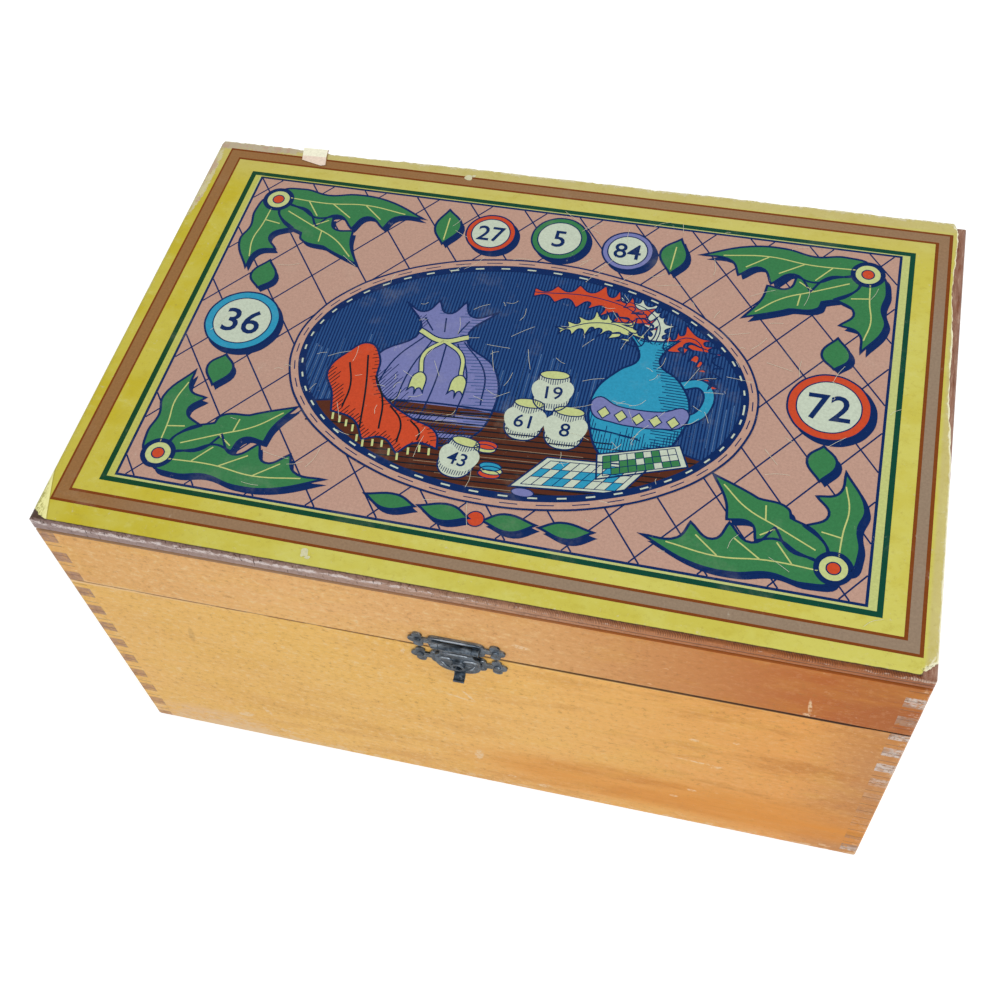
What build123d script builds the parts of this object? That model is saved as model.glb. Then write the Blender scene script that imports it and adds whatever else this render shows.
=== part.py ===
"""Wooden lotto box with its game inside.

The case is made as one comb-jointed box and then sawn all round into a base and a lid.
A thin board with a nosed edge closes the lid and carries a paper label, two small hinges
sit outside the back, and a stamped catch with a swinging hasp closes the front.
Inside are a bay for the cards with the folded drawing bag on top, a bay for the ninety
turned number pieces and a bay for the counters.

Millimetres. Origin at the centre of the underside, +X to the right seen from the front,
-Y out of the front, +Z up.
"""

import os
from math import ceil, sin, sqrt

from build123d import *

# Case
BOX_WIDTH = 268.0
BOX_DEPTH = 170.0
BASE_HEIGHT = 104.0
LID_SIDE_HEIGHT = 29.7
TOP_BOARD_THICKNESS = 7.0
WALL = 6.0
SEAM_GAP = 0.3
SAW_KERF = 2.0
FINGER_HEIGHT = 6.0
CORNER_ROUND = 0.8
SEAM_ROUND = 0.4
FOOT_ROUND = 0.6
NOSE_TOP_RADIUS = 2.0
NOSE_BOTTOM_RADIUS = 2.2

# Bottom panel, let into a routed rebate
BOTTOM_THICKNESS = 5.0
REBATE_INTO_WALL = 3.0
REBATE_CORNER_RADIUS = 6.0
PANEL_CLEARANCE = 0.1
BRAD_RADIUS = 0.6
BRAD_LENGTH = 14.0
BRAD_HEAD_RADIUS = 1.0
BRAD_HEAD_HEIGHT = 0.5
BRAD_FROM_PANEL_EDGE = 1.4
BRADS_PER_LONG_SIDE = 4
BRADS_PER_SHORT_SIDE = 2
NAIL_CLEARANCE = 0.03

# Paper label on the top board
LABEL_THICKNESS = 0.3
LABEL_LEFT_MARGIN = 2.0
LABEL_RIGHT_MARGIN = 2.2
LABEL_FRONT_MARGIN = 2.4
LABEL_REAR_MARGIN = 2.0

# Gap between any knuckle and the wood behind it
KNUCKLE_BACK_CLEARANCE = 0.1

# Butt hinges on the outside of the back
HINGE_LENGTH = 22.0
HINGE_FROM_END = 52.0
HINGE_LEAF_HEIGHT = 11.0
HINGE_SHEET = 0.8
HINGE_LEAF_CORNER = 1.5
HINGE_KNUCKLE_RADIUS = 1.5
HINGE_KNUCKLE_GAP = 0.2
HINGE_PIN_RADIUS = 0.75
HINGE_NAIL_SPACING = 13.0
HINGE_NAIL_FROM_AXIS = 7.0

# Stamped catch on the front, a little left of the middle
CATCH_X = -1.8
CATCH_SHEET = 0.7
CATCH_BODY_HALF_WIDTH = 9.0
CATCH_BODY_CORNER = 2.2
PLATE_TOP = 8.2
PLATE_BOTTOM = 0.6
PLATE_FINIAL_LEVEL = 4.6
KEEPER_TOP = -0.8
KEEPER_BOTTOM = -8.8
KEEPER_FINIAL_LEVEL = -5.0
FINIAL_NECK_LENGTH = 3.0
FINIAL_NECK_WIDTH = 2.6
FINIAL_NAIL_REACH = 3.4
HASP_AXIS_LEVEL = 4.7
HASP_KNUCKLE_RADIUS = 1.3
HASP_KNUCKLE_LENGTH = 10.4
PLATE_KNUCKLE_LENGTH = 2.2
CATCH_KNUCKLE_GAP = 0.15
CATCH_PIN_RADIUS = 0.55
RUNNING_CLEARANCE = 0.05
FIXED_CLEARANCE = 0.01
HASP_SHOULDER_HALF_WIDTH = 7.3
HASP_NECK_DROP = 2.9
HASP_SHOULDER_DROP = 3.2
HASP_SHOULDER_BOW = 0.65
HASP_SIDE_DROP = 4.2
HASP_SHIELD_DROP = 5.0
HASP_SHIELD_BOW = 1.5
HASP_TAB_WIDTH = 3.6
HASP_TAB_REACH = 2.8
HASP_TAB_DROP = 2.0
HASP_BOSS_LEVEL = -5.9
HASP_BOSS_RADIUS = 2.2
HASP_BOSS_HEIGHT = 1.0
STUD_RADIUS = 1.0
STUD_HEIGHT = 0.9
STUD_CLEARANCE = 0.4

# Round-headed nails of the hinges and the catch
NAIL_RADIUS = 0.5
NAIL_LENGTH = 4.8
NAIL_HEAD_RADIUS = 1.1
NAIL_HEAD_HEIGHT = 0.5

# Dividers
DIVIDER_THICKNESS = 3.0
DIVIDER_HEIGHT = 58.0
GROOVE_DEPTH = 2.0
GROOVE_CLEARANCE = 0.1

# Game
CARD_COUNT = 24
CARD_WIDTH = 78.0
CARD_THICKNESS = 1.6
CARD_PLAY = 2.0
CARD_CORNER_RADIUS = 2.0
BAG_WIDTH = 62.0
BAG_LENGTH = 80.0
BAG_FROM_CARD_END = 7.0
BAG_THICKNESS = 9.0
BAG_CORNER_RADIUS = 9.0
BAG_EDGE_ROUND = 3.6
BAG_CLEARANCE = 0.2
NUMBER_COUNT = 90
NUMBER_RADIUS = 8.9
NUMBER_HEIGHT = 13.0
NUMBER_RIM_WIDTH = 0.8
NUMBER_FACE_DEPTH = 0.4
NUMBER_SPACING = 0.8
NUMBER_ROWS = 5
NUMBER_PLAY = 1.0
LAYER_GAP = 0.05
COUNTER_STACKS = 20
COUNTERS_PER_STACK = 6
COUNTER_RADIUS = 7.0
COUNTER_THICKNESS = 2.0
COUNTER_SPACING = 2.6

# How far the cards and the counters lie out of line, and how fast that changes up a stack
STACK_SHIFT = 0.6
STACK_SHIFT_RATE_X = 2.4
STACK_SHIFT_RATE_Y = 1.7

# Levels and inner sizes that follow from them
LID_LOW = BASE_HEIGHT + SEAM_GAP
TOP_LOW = LID_LOW + LID_SIDE_HEIGHT
TOP_HIGH = TOP_LOW + TOP_BOARD_THICKNESS
SEAM_LEVEL = BASE_HEIGHT + SEAM_GAP / 2
BASE_STACK_TOP = BASE_HEIGHT + SAW_KERF + LID_SIDE_HEIGHT
INNER_WIDTH = BOX_WIDTH - 2 * WALL
INNER_DEPTH = BOX_DEPTH - 2 * WALL
REBATE_WIDTH = INNER_WIDTH + 2 * REBATE_INTO_WALL
REBATE_DEPTH = INNER_DEPTH + 2 * REBATE_INTO_WALL
CARD_BAY_WIDTH = CARD_WIDTH + 2 * CARD_PLAY
CARD_LENGTH = INNER_DEPTH - 2 * CARD_PLAY
CARD_X = -INNER_WIDTH / 2 + CARD_BAY_WIDTH / 2
CROSS_DIVIDER_X = -INNER_WIDTH / 2 + CARD_BAY_WIDTH + DIVIDER_THICKNESS / 2
DIVIDER_MIDDLE_Z = BOTTOM_THICKNESS + DIVIDER_HEIGHT / 2
RIGHT_BAY_LOW_X = CROSS_DIVIDER_X + DIVIDER_THICKNESS / 2
RIGHT_BAY_WIDTH = INNER_WIDTH / 2 - RIGHT_BAY_LOW_X
NUMBER_END_RADIUS = sqrt(NUMBER_RADIUS**2 - (NUMBER_HEIGHT / 2)**2)
NUMBER_PITCH = 2 * NUMBER_RADIUS + NUMBER_SPACING
NUMBER_BAY_DEPTH = NUMBER_ROWS * NUMBER_PITCH + 2 * NUMBER_PLAY
SHORT_DIVIDER_Y = INNER_DEPTH / 2 - NUMBER_BAY_DEPTH - DIVIDER_THICKNESS / 2
COUNTER_PITCH = 2 * COUNTER_RADIUS + COUNTER_SPACING
HINGE_X = BOX_WIDTH / 2 - HINGE_FROM_END
HINGE_AXIS_Y = BOX_DEPTH / 2 + KNUCKLE_BACK_CLEARANCE + HINGE_KNUCKLE_RADIUS
HINGE_KNUCKLE_LENGTH = (HINGE_LENGTH - 2 * HINGE_KNUCKLE_GAP) / 3
HASP_AXIS_OUT = HASP_KNUCKLE_RADIUS + KNUCKLE_BACK_CLEARANCE
FINIAL_NAIL_X = CATCH_BODY_HALF_WIDTH + FINIAL_NAIL_REACH
NAIL_HEAD_ROUND = 0.8 * NAIL_HEAD_HEIGHT
STUD_ROUND = 0.6 * STUD_HEIGHT

# Each finial's three lobes: how far out from the plate's body, how far up, and the radius
FINIAL_LOBES = [(3.3, 2.5, 1.6), (3.3, -2.5, 1.6), (4.7, 0.0, 1.8)]

# Sides in the order in which a quarter turn of the case brings each one to the front board's place
SIDES = ("front", "right", "rear", "left")
QUARTER_TURN = 90

FRONT_FACE = Plane(origin=(CATCH_X, -BOX_DEPTH / 2, SEAM_LEVEL), x_dir=(1, 0, 0), z_dir=(0, -1, 0))
REAR_FACE = Plane(origin=(0, BOX_DEPTH / 2, SEAM_LEVEL), x_dir=(-1, 0, 0), z_dir=(0, 1, 0))


def write_piece(builder, name):
    """Labels a finished piece and writes it to its own file."""
    builder.part.label = name
    export_step(builder.part, f"parts/{name}.step")


def finger_slots(low, high, stack_top, phase):
    """Bottom and top of each slot, counted down from the uncut case's top and cut to the board."""
    slots = []
    for step in range(ceil((stack_top - low) / (2 * FINGER_HEIGHT))):
        top = stack_top - (2 * step + phase) * FINGER_HEIGHT
        bottom = top - FINGER_HEIGHT
        if bottom < high and top > low:
            slots.append((max(bottom, low), min(top, high)))
    return slots


def spread(count, length):
    """Places of count things evenly along a length, half a step in from each end."""
    return [length * ((step + 0.5) / count - 0.5) for step in range(count)]


def stack_shift(level, stack=0):
    """Sideways shift of the piece at a level of a stack, so that no stack stands quite straight."""
    return (STACK_SHIFT * sin(STACK_SHIFT_RATE_X * level + stack),
            STACK_SHIFT * sin(STACK_SHIFT_RATE_Y * level + 2 * stack + 1))


def hinge_nail_places(upward):
    """Places of one leaf row's nails on the rear face, for both hinges."""
    level = HINGE_NAIL_FROM_AXIS if upward else -HINGE_NAIL_FROM_AXIS
    places = []
    for hinge_x in (-HINGE_X, HINGE_X):
        for step in (-0.5, 0.5):
            places.append((hinge_x + step * HINGE_NAIL_SPACING, level))
    return places


def finial_nail_places(level):
    """Places of a catch plate's two nails on the front face."""
    return [(-FINIAL_NAIL_X, level), (FINIAL_NAIL_X, level)]


def case_envelope(low, high, foot_round, rim_round):
    """Outer shape that a ring of boards is sanded to, its edges eased where a radius is given."""
    with BuildPart() as envelope:
        with BuildSketch(Plane.XY.offset(low)):
            RectangleRounded(BOX_WIDTH, BOX_DEPTH, CORNER_ROUND)
        extrude(amount=high - low)
        if foot_round:
            fillet(envelope.edges().group_by(Axis.Z)[0], foot_round)
        if rim_round:
            fillet(envelope.edges().group_by(Axis.Z)[-1], rim_round)
    return envelope.part


def case_board(side, low, high, stack_top, envelope, groove_places=(), brad_places=(),
               nail_plane=None, nail_places=()):
    """One board of the base or the lid, with its comb fingers, grooves, rebate and pilot holes.

    Grooves and brads go only in the base, whose boards also take the bottom panel's rebate.
    """
    quarter_turns = SIDES.index(side)
    across = quarter_turns % 2 == 1
    length = BOX_DEPTH if across else BOX_WIDTH
    reach = (BOX_WIDTH if across else BOX_DEPTH) / 2
    middle = -reach + WALL / 2
    with BuildPart() as board:
        with Locations(Location((0, 0, 0), (0, 0, quarter_turns * QUARTER_TURN))):
            with Locations((0, middle, (low + high) / 2)):
                Box(length, WALL, high - low)
            for end, phase in ((-1, 0), (1, 1)):
                for bottom, top in finger_slots(low, high, stack_top, phase):
                    with Locations((end * (length - WALL) / 2, middle, (bottom + top) / 2)):
                        Box(WALL, WALL, top - bottom, mode=Mode.SUBTRACT)
            for place in groove_places:
                with Locations((place, -reach + WALL - GROOVE_DEPTH / 2, DIVIDER_MIDDLE_Z)):
                    Box(DIVIDER_THICKNESS + 2 * GROOVE_CLEARANCE, GROOVE_DEPTH, DIVIDER_HEIGHT,
                        mode=Mode.SUBTRACT)
            for place in brad_places:
                depth = BRAD_LENGTH + BRAD_HEAD_HEIGHT
                with Locations((place, -reach + WALL - REBATE_INTO_WALL + BRAD_FROM_PANEL_EDGE, depth / 2)):
                    Cylinder(BRAD_RADIUS + NAIL_CLEARANCE, depth, mode=Mode.SUBTRACT)
        add(envelope, mode=Mode.INTERSECT)
        if low < BOTTOM_THICKNESS:
            with BuildSketch(Plane.XY):
                RectangleRounded(REBATE_WIDTH, REBATE_DEPTH, REBATE_CORNER_RADIUS)
            extrude(amount=BOTTOM_THICKNESS, mode=Mode.SUBTRACT)
        if nail_places:
            with BuildSketch(nail_plane):
                with Locations(*nail_places):
                    Circle(NAIL_RADIUS + NAIL_CLEARANCE)
            extrude(amount=-NAIL_LENGTH, mode=Mode.SUBTRACT)
    return board


def long_brad_places():
    """Places of the brads along the front and rear boards."""
    return spread(BRADS_PER_LONG_SIDE, INNER_WIDTH)


def short_brad_places():
    """Places of the brads along the left and right boards."""
    return spread(BRADS_PER_SHORT_SIDE, INNER_DEPTH)


def base_boards():
    """The four boards of the base."""
    sizes = {"low": 0.0, "high": BASE_HEIGHT, "stack_top": BASE_STACK_TOP,
             "envelope": case_envelope(0.0, BASE_HEIGHT, FOOT_ROUND, SEAM_ROUND)}
    front = case_board("front", groove_places=[CROSS_DIVIDER_X], brad_places=long_brad_places(),
                       nail_plane=FRONT_FACE, nail_places=finial_nail_places(KEEPER_FINIAL_LEVEL), **sizes)
    write_piece(front, "base_front_board")
    rear = case_board("rear", groove_places=[-CROSS_DIVIDER_X], brad_places=long_brad_places(),
                      nail_plane=REAR_FACE, nail_places=hinge_nail_places(upward=False), **sizes)
    write_piece(rear, "base_rear_board")
    left = case_board("left", brad_places=short_brad_places(), **sizes)
    write_piece(left, "base_left_board")
    right = case_board("right", groove_places=[SHORT_DIVIDER_Y], brad_places=short_brad_places(), **sizes)
    write_piece(right, "base_right_board")


def lid_boards():
    """The four boards of the lid's rim."""
    sizes = {"low": LID_LOW, "high": TOP_LOW, "stack_top": TOP_LOW,
             "envelope": case_envelope(LID_LOW, TOP_LOW, SEAM_ROUND, 0.0)}
    front = case_board("front", nail_plane=FRONT_FACE, nail_places=finial_nail_places(PLATE_FINIAL_LEVEL),
                       **sizes)
    write_piece(front, "lid_front_board")
    rear = case_board("rear", nail_plane=REAR_FACE, nail_places=hinge_nail_places(upward=True), **sizes)
    write_piece(rear, "lid_rear_board")
    for side in ("left", "right"):
        write_piece(case_board(side, **sizes), f"lid_{side}_board")


def brad_points():
    """Places of all the brads, seen from above."""
    edge_x = REBATE_WIDTH / 2 - BRAD_FROM_PANEL_EDGE
    edge_y = REBATE_DEPTH / 2 - BRAD_FROM_PANEL_EDGE
    points = []
    for sign in (-1, 1):
        points += [(place, sign * edge_y) for place in long_brad_places()]
        points += [(sign * edge_x, place) for place in short_brad_places()]
    return points


def bottom_panel():
    """Bottom panel, rounded to the routed rebate and drilled for its brads."""
    with BuildPart() as panel:
        with BuildSketch():
            RectangleRounded(REBATE_WIDTH - 2 * PANEL_CLEARANCE, REBATE_DEPTH - 2 * PANEL_CLEARANCE,
                             REBATE_CORNER_RADIUS - PANEL_CLEARANCE)
        extrude(amount=BOTTOM_THICKNESS)
        with BuildSketch():
            with Locations(*brad_points()):
                Circle(BRAD_RADIUS + NAIL_CLEARANCE)
        extrude(amount=BOTTOM_THICKNESS, mode=Mode.SUBTRACT)
        with BuildSketch():
            with Locations(*brad_points()):
                Circle(BRAD_HEAD_RADIUS + NAIL_CLEARANCE)
        extrude(amount=BRAD_HEAD_HEIGHT, mode=Mode.SUBTRACT)
    write_piece(panel, "bottom_panel")


def bottom_brads():
    """Brads that hold the bottom panel, their heads set flush in it."""
    with BuildPart() as brads:
        with BuildSketch():
            with Locations(*brad_points()):
                Circle(BRAD_HEAD_RADIUS)
        extrude(amount=BRAD_HEAD_HEIGHT)
        with BuildSketch():
            with Locations(*brad_points()):
                Circle(BRAD_RADIUS)
        extrude(amount=BRAD_LENGTH)
    write_piece(brads, "bottom_brads")


def top_board():
    """Board that closes the lid, flush with its rim and nosed all round."""
    with BuildPart() as board:
        with Locations((0, 0, (TOP_LOW + TOP_HIGH) / 2)):
            Box(BOX_WIDTH, BOX_DEPTH, TOP_BOARD_THICKNESS)
        fillet(board.edges().group_by(Axis.Z)[-1], NOSE_TOP_RADIUS)
        fillet(board.edges().group_by(Axis.Z)[0], NOSE_BOTTOM_RADIUS)
        with BuildSketch(Plane.XY.offset(TOP_LOW)):
            RectangleRounded(BOX_WIDTH, BOX_DEPTH, CORNER_ROUND)
        extrude(amount=TOP_BOARD_THICKNESS, mode=Mode.INTERSECT)
    write_piece(board, "top_board")


def lid_label():
    """Printed paper sheet glued on the top board, a little nearer its left and rear edges."""
    width = BOX_WIDTH - LABEL_LEFT_MARGIN - LABEL_RIGHT_MARGIN
    depth = BOX_DEPTH - LABEL_FRONT_MARGIN - LABEL_REAR_MARGIN
    centre = ((LABEL_LEFT_MARGIN - LABEL_RIGHT_MARGIN) / 2, (LABEL_FRONT_MARGIN - LABEL_REAR_MARGIN) / 2)
    with BuildPart() as label:
        with BuildSketch(Plane.XY.offset(TOP_HIGH)):
            with Locations(centre):
                Rectangle(width, depth)
        extrude(amount=LABEL_THICKNESS)
    write_piece(label, "lid_label")


def nails(name, plane, places, sheet):
    """Round-headed nails driven through a sheet of the given thickness."""
    with BuildPart() as group:
        with BuildSketch(plane.offset(sheet)):
            with Locations(*places):
                Circle(NAIL_RADIUS)
        extrude(amount=-NAIL_LENGTH - sheet)
        with BuildSketch(plane.offset(sheet)):
            with Locations(*places):
                Circle(NAIL_HEAD_RADIUS)
        extrude(amount=NAIL_HEAD_HEIGHT)
        rims = group.edges().filter_by(GeomType.CIRCLE).group_by(Axis(plane.origin, plane.z_dir))[-1]
        fillet(rims, NAIL_HEAD_ROUND)
    write_piece(group, name)


def hinge_leaf(name, hinge_x, upward):
    """One leaf of a butt hinge with its rolled knuckles: the middle one goes up, the outer two down."""
    way = 1 if upward else -1
    knuckle_step = HINGE_KNUCKLE_LENGTH + HINGE_KNUCKLE_GAP
    own_knuckles = [0.0] if upward else [-knuckle_step, knuckle_step]
    other_knuckles = [-knuckle_step, knuckle_step] if upward else [0.0]
    leaf_middle_y = BOX_DEPTH / 2 + HINGE_SHEET / 2
    clear_radius = HINGE_KNUCKLE_RADIUS + HINGE_KNUCKLE_GAP
    pin_clearance = RUNNING_CLEARANCE if upward else FIXED_CLEARANCE
    with BuildPart() as leaf:
        with Locations((hinge_x, leaf_middle_y, SEAM_LEVEL + way * HINGE_LEAF_HEIGHT / 2)):
            Box(HINGE_LENGTH, HINGE_SHEET, HINGE_LEAF_HEIGHT)
        far_corners = leaf.edges().filter_by(Axis.Y).group_by(Axis.Z)[-1 if upward else 0]
        fillet(far_corners, HINGE_LEAF_CORNER)
        for place in other_knuckles:
            with Locations((hinge_x + place, leaf_middle_y, SEAM_LEVEL)):
                Box(HINGE_KNUCKLE_LENGTH + 2 * HINGE_KNUCKLE_GAP, HINGE_SHEET, 2 * clear_radius,
                    mode=Mode.SUBTRACT)
        for place in own_knuckles:
            with Locations((hinge_x + place, HINGE_AXIS_Y, SEAM_LEVEL)):
                Cylinder(HINGE_KNUCKLE_RADIUS, HINGE_KNUCKLE_LENGTH, rotation=(0, 90, 0))
        with Locations((hinge_x, HINGE_AXIS_Y, SEAM_LEVEL)):
            Cylinder(HINGE_PIN_RADIUS + pin_clearance, HINGE_LENGTH, rotation=(0, 90, 0),
                     mode=Mode.SUBTRACT)
        with BuildSketch(REAR_FACE):
            with Locations(*hinge_nail_places(upward)):
                Circle(NAIL_RADIUS + NAIL_CLEARANCE)
        extrude(amount=HINGE_SHEET, mode=Mode.SUBTRACT)
    write_piece(leaf, name)


def hinge_pin(name, hinge_x):
    """Pin fixed in a hinge's outer knuckles."""
    with BuildPart() as pin:
        with Locations((hinge_x, HINGE_AXIS_Y, SEAM_LEVEL)):
            Cylinder(HINGE_PIN_RADIUS, HINGE_LENGTH, rotation=(0, 90, 0))
    write_piece(pin, name)


def hinges():
    """Both hinges with their pins and nails."""
    for side, hinge_x in (("left", -HINGE_X), ("right", HINGE_X)):
        hinge_leaf(f"{side}_hinge_base_leaf", hinge_x, upward=False)
        hinge_leaf(f"{side}_hinge_lid_leaf", hinge_x, upward=True)
        hinge_pin(f"{side}_hinge_pin", hinge_x)
    nails("hinge_base_nails", REAR_FACE, hinge_nail_places(upward=False), HINGE_SHEET)
    nails("hinge_lid_nails", REAR_FACE, hinge_nail_places(upward=True), HINGE_SHEET)


def plate_outline(top, bottom, finial_level):
    """Adds a catch plate's outline to the open sketch: its body with a three-lobed leaf at each end."""
    with Locations((0, (top + bottom) / 2)):
        RectangleRounded(2 * CATCH_BODY_HALF_WIDTH, top - bottom, CATCH_BODY_CORNER)
    for side in (-1, 1):
        neck_x = side * (CATCH_BODY_HALF_WIDTH + (FINIAL_NECK_LENGTH - CATCH_BODY_CORNER) / 2)
        with Locations((neck_x, finial_level)):
            Rectangle(FINIAL_NECK_LENGTH + CATCH_BODY_CORNER, FINIAL_NECK_WIDTH)
        for outward, upward, radius in FINIAL_LOBES:
            with Locations((side * (CATCH_BODY_HALF_WIDTH + outward), finial_level + upward)):
                Circle(radius)


def catch_plate():
    """Stamped plate on the lid, slotted for the hasp's knuckle, with a rolled knuckle at each side."""
    slot_width = HASP_KNUCKLE_LENGTH + 2 * CATCH_KNUCKLE_GAP
    slot_height = 2 * (HASP_KNUCKLE_RADIUS + CATCH_KNUCKLE_GAP)
    knuckle_x = (slot_width + PLATE_KNUCKLE_LENGTH) / 2
    axis = FRONT_FACE.offset(HASP_AXIS_OUT)
    with BuildPart() as plate:
        with BuildSketch(FRONT_FACE):
            plate_outline(PLATE_TOP, PLATE_BOTTOM, PLATE_FINIAL_LEVEL)
            with Locations(*finial_nail_places(PLATE_FINIAL_LEVEL)):
                Circle(NAIL_RADIUS + NAIL_CLEARANCE, mode=Mode.SUBTRACT)
        extrude(amount=CATCH_SHEET)
        with Locations(FRONT_FACE):
            with Locations((0, HASP_AXIS_LEVEL, CATCH_SHEET / 2)):
                Box(slot_width, slot_height, CATCH_SHEET, mode=Mode.SUBTRACT)
        with Locations(axis):
            with Locations((-knuckle_x, HASP_AXIS_LEVEL, 0), (knuckle_x, HASP_AXIS_LEVEL, 0)):
                Cylinder(HASP_KNUCKLE_RADIUS, PLATE_KNUCKLE_LENGTH, rotation=(0, 90, 0))
            with Locations((0, HASP_AXIS_LEVEL, 0)):
                Cylinder(CATCH_PIN_RADIUS + FIXED_CLEARANCE, 2 * CATCH_BODY_HALF_WIDTH, rotation=(0, 90, 0),
                         mode=Mode.SUBTRACT)
    write_piece(plate, "catch_plate")


def catch_pin():
    """Pin of the hasp, fixed in the plate's two knuckles."""
    length = HASP_KNUCKLE_LENGTH + 2 * CATCH_KNUCKLE_GAP + 2 * PLATE_KNUCKLE_LENGTH
    with BuildPart() as pin:
        with Locations(FRONT_FACE.offset(HASP_AXIS_OUT)):
            with Locations((0, HASP_AXIS_LEVEL, 0)):
                Cylinder(CATCH_PIN_RADIUS, length, rotation=(0, 90, 0))
    write_piece(pin, "catch_pin")


def catch_hasp():
    """Swinging hasp: knuckle, shield-shaped leaf, raised ring round the stud's hole and curled tab."""
    half_knuckle = HASP_KNUCKLE_LENGTH / 2
    half_tab = HASP_TAB_WIDTH / 2
    leaf_out = HASP_AXIS_OUT - CATCH_SHEET / 2
    neck_level = HASP_AXIS_LEVEL - HASP_NECK_DROP
    shoulder_level = neck_level - HASP_SHOULDER_DROP
    side_level = shoulder_level - HASP_SIDE_DROP
    tab_level = side_level - HASP_SHIELD_DROP
    hole_radius = STUD_RADIUS + STUD_CLEARANCE
    side_plane = Plane(origin=FRONT_FACE.origin, x_dir=(0, -1, 0), z_dir=(-1, 0, 0))
    with BuildPart() as hasp:
        with BuildSketch(FRONT_FACE.offset(leaf_out)):
            with BuildLine():
                Line((0, HASP_AXIS_LEVEL), (half_knuckle, HASP_AXIS_LEVEL))
                Line((half_knuckle, HASP_AXIS_LEVEL), (half_knuckle, neck_level))
                SagittaArc((half_knuckle, neck_level), (HASP_SHOULDER_HALF_WIDTH, shoulder_level),
                           -HASP_SHOULDER_BOW)
                Line((HASP_SHOULDER_HALF_WIDTH, shoulder_level), (HASP_SHOULDER_HALF_WIDTH, side_level))
                SagittaArc((HASP_SHOULDER_HALF_WIDTH, side_level), (half_tab, tab_level), HASP_SHIELD_BOW)
                Line((half_tab, tab_level), (0, tab_level))
                mirror(about=Plane.YZ)
            make_face()
        extrude(amount=CATCH_SHEET)
        with Locations(FRONT_FACE.offset(HASP_AXIS_OUT)):
            with Locations((0, HASP_AXIS_LEVEL, 0)):
                Cylinder(HASP_KNUCKLE_RADIUS, HASP_KNUCKLE_LENGTH, rotation=(0, 90, 0))
        with BuildSketch(side_plane):
            with BuildLine():
                start = Line((HASP_AXIS_OUT, tab_level + CATCH_SHEET), (HASP_AXIS_OUT, tab_level))
                tab_end = (HASP_AXIS_OUT + HASP_TAB_REACH, tab_level - HASP_TAB_DROP)
                TangentArc(start @ 1, tab_end, tangent=start % 1)
            trace(line_width=CATCH_SHEET)
        extrude(amount=half_tab, both=True)
        with BuildSketch(FRONT_FACE.offset(HASP_AXIS_OUT)):
            with Locations((0, HASP_BOSS_LEVEL)):
                Circle(HASP_BOSS_RADIUS)
        extrude(amount=CATCH_SHEET / 2 + HASP_BOSS_HEIGHT)
        with Locations(FRONT_FACE.offset(HASP_AXIS_OUT)):
            with Locations((0, HASP_BOSS_LEVEL, 0)):
                Cylinder(hole_radius, 2 * (CATCH_SHEET + HASP_BOSS_HEIGHT), mode=Mode.SUBTRACT)
            with Locations((0, HASP_AXIS_LEVEL, 0)):
                Cylinder(CATCH_PIN_RADIUS + RUNNING_CLEARANCE, 2 * HASP_KNUCKLE_LENGTH, rotation=(0, 90, 0),
                         mode=Mode.SUBTRACT)
    write_piece(hasp, "catch_hasp")


def catch_keeper():
    """Stamped keeper on the base, with the low stud that the hasp's ring drops over."""
    with BuildPart() as keeper:
        with BuildSketch(FRONT_FACE):
            plate_outline(KEEPER_TOP, KEEPER_BOTTOM, KEEPER_FINIAL_LEVEL)
            with Locations(*finial_nail_places(KEEPER_FINIAL_LEVEL)):
                Circle(NAIL_RADIUS + NAIL_CLEARANCE, mode=Mode.SUBTRACT)
        extrude(amount=CATCH_SHEET)
        with BuildSketch(FRONT_FACE.offset(CATCH_SHEET)):
            with Locations((0, HASP_BOSS_LEVEL)):
                Circle(STUD_RADIUS)
        extrude(amount=STUD_HEIGHT)
        outward = Axis(FRONT_FACE.origin, FRONT_FACE.z_dir)
        stud_rim = keeper.edges().filter_by(GeomType.CIRCLE).group_by(outward)[-1]
        fillet(stud_rim, STUD_ROUND)
    write_piece(keeper, "catch_keeper")


def catch():
    """The catch with its nails."""
    catch_plate()
    catch_pin()
    catch_hasp()
    catch_keeper()
    nails("catch_plate_nails", FRONT_FACE, finial_nail_places(PLATE_FINIAL_LEVEL), CATCH_SHEET)
    nails("catch_keeper_nails", FRONT_FACE, finial_nail_places(KEEPER_FINIAL_LEVEL), CATCH_SHEET)


def dividers():
    """Cross divider in its two grooves, and the short divider from it to the right board."""
    middle_z = DIVIDER_MIDDLE_Z - GROOVE_CLEARANCE / 2
    height = DIVIDER_HEIGHT - GROOVE_CLEARANCE
    with BuildPart() as cross:
        with Locations((CROSS_DIVIDER_X, 0, middle_z)):
            Box(DIVIDER_THICKNESS, INNER_DEPTH + 2 * (GROOVE_DEPTH - GROOVE_CLEARANCE), height)
    write_piece(cross, "cross_divider")
    right_end = INNER_WIDTH / 2 + GROOVE_DEPTH - GROOVE_CLEARANCE
    with BuildPart() as short:
        with Locations(((RIGHT_BAY_LOW_X + right_end) / 2, SHORT_DIVIDER_Y, middle_z)):
            Box(right_end - RIGHT_BAY_LOW_X, DIVIDER_THICKNESS, height)
    write_piece(short, "short_divider")


def cards():
    """Lotto cards in one stack, each a little out of line with the next."""
    for step in range(CARD_COUNT):
        shift_x, shift_y = stack_shift(step)
        with BuildPart() as card:
            with BuildSketch(Plane.XY.offset(BOTTOM_THICKNESS + step * CARD_THICKNESS)):
                with Locations((CARD_X + shift_x, shift_y)):
                    RectangleRounded(CARD_WIDTH, CARD_LENGTH, CARD_CORNER_RADIUS)
            extrude(amount=CARD_THICKNESS)
        write_piece(card, f"card_{step + 1:02d}")


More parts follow.
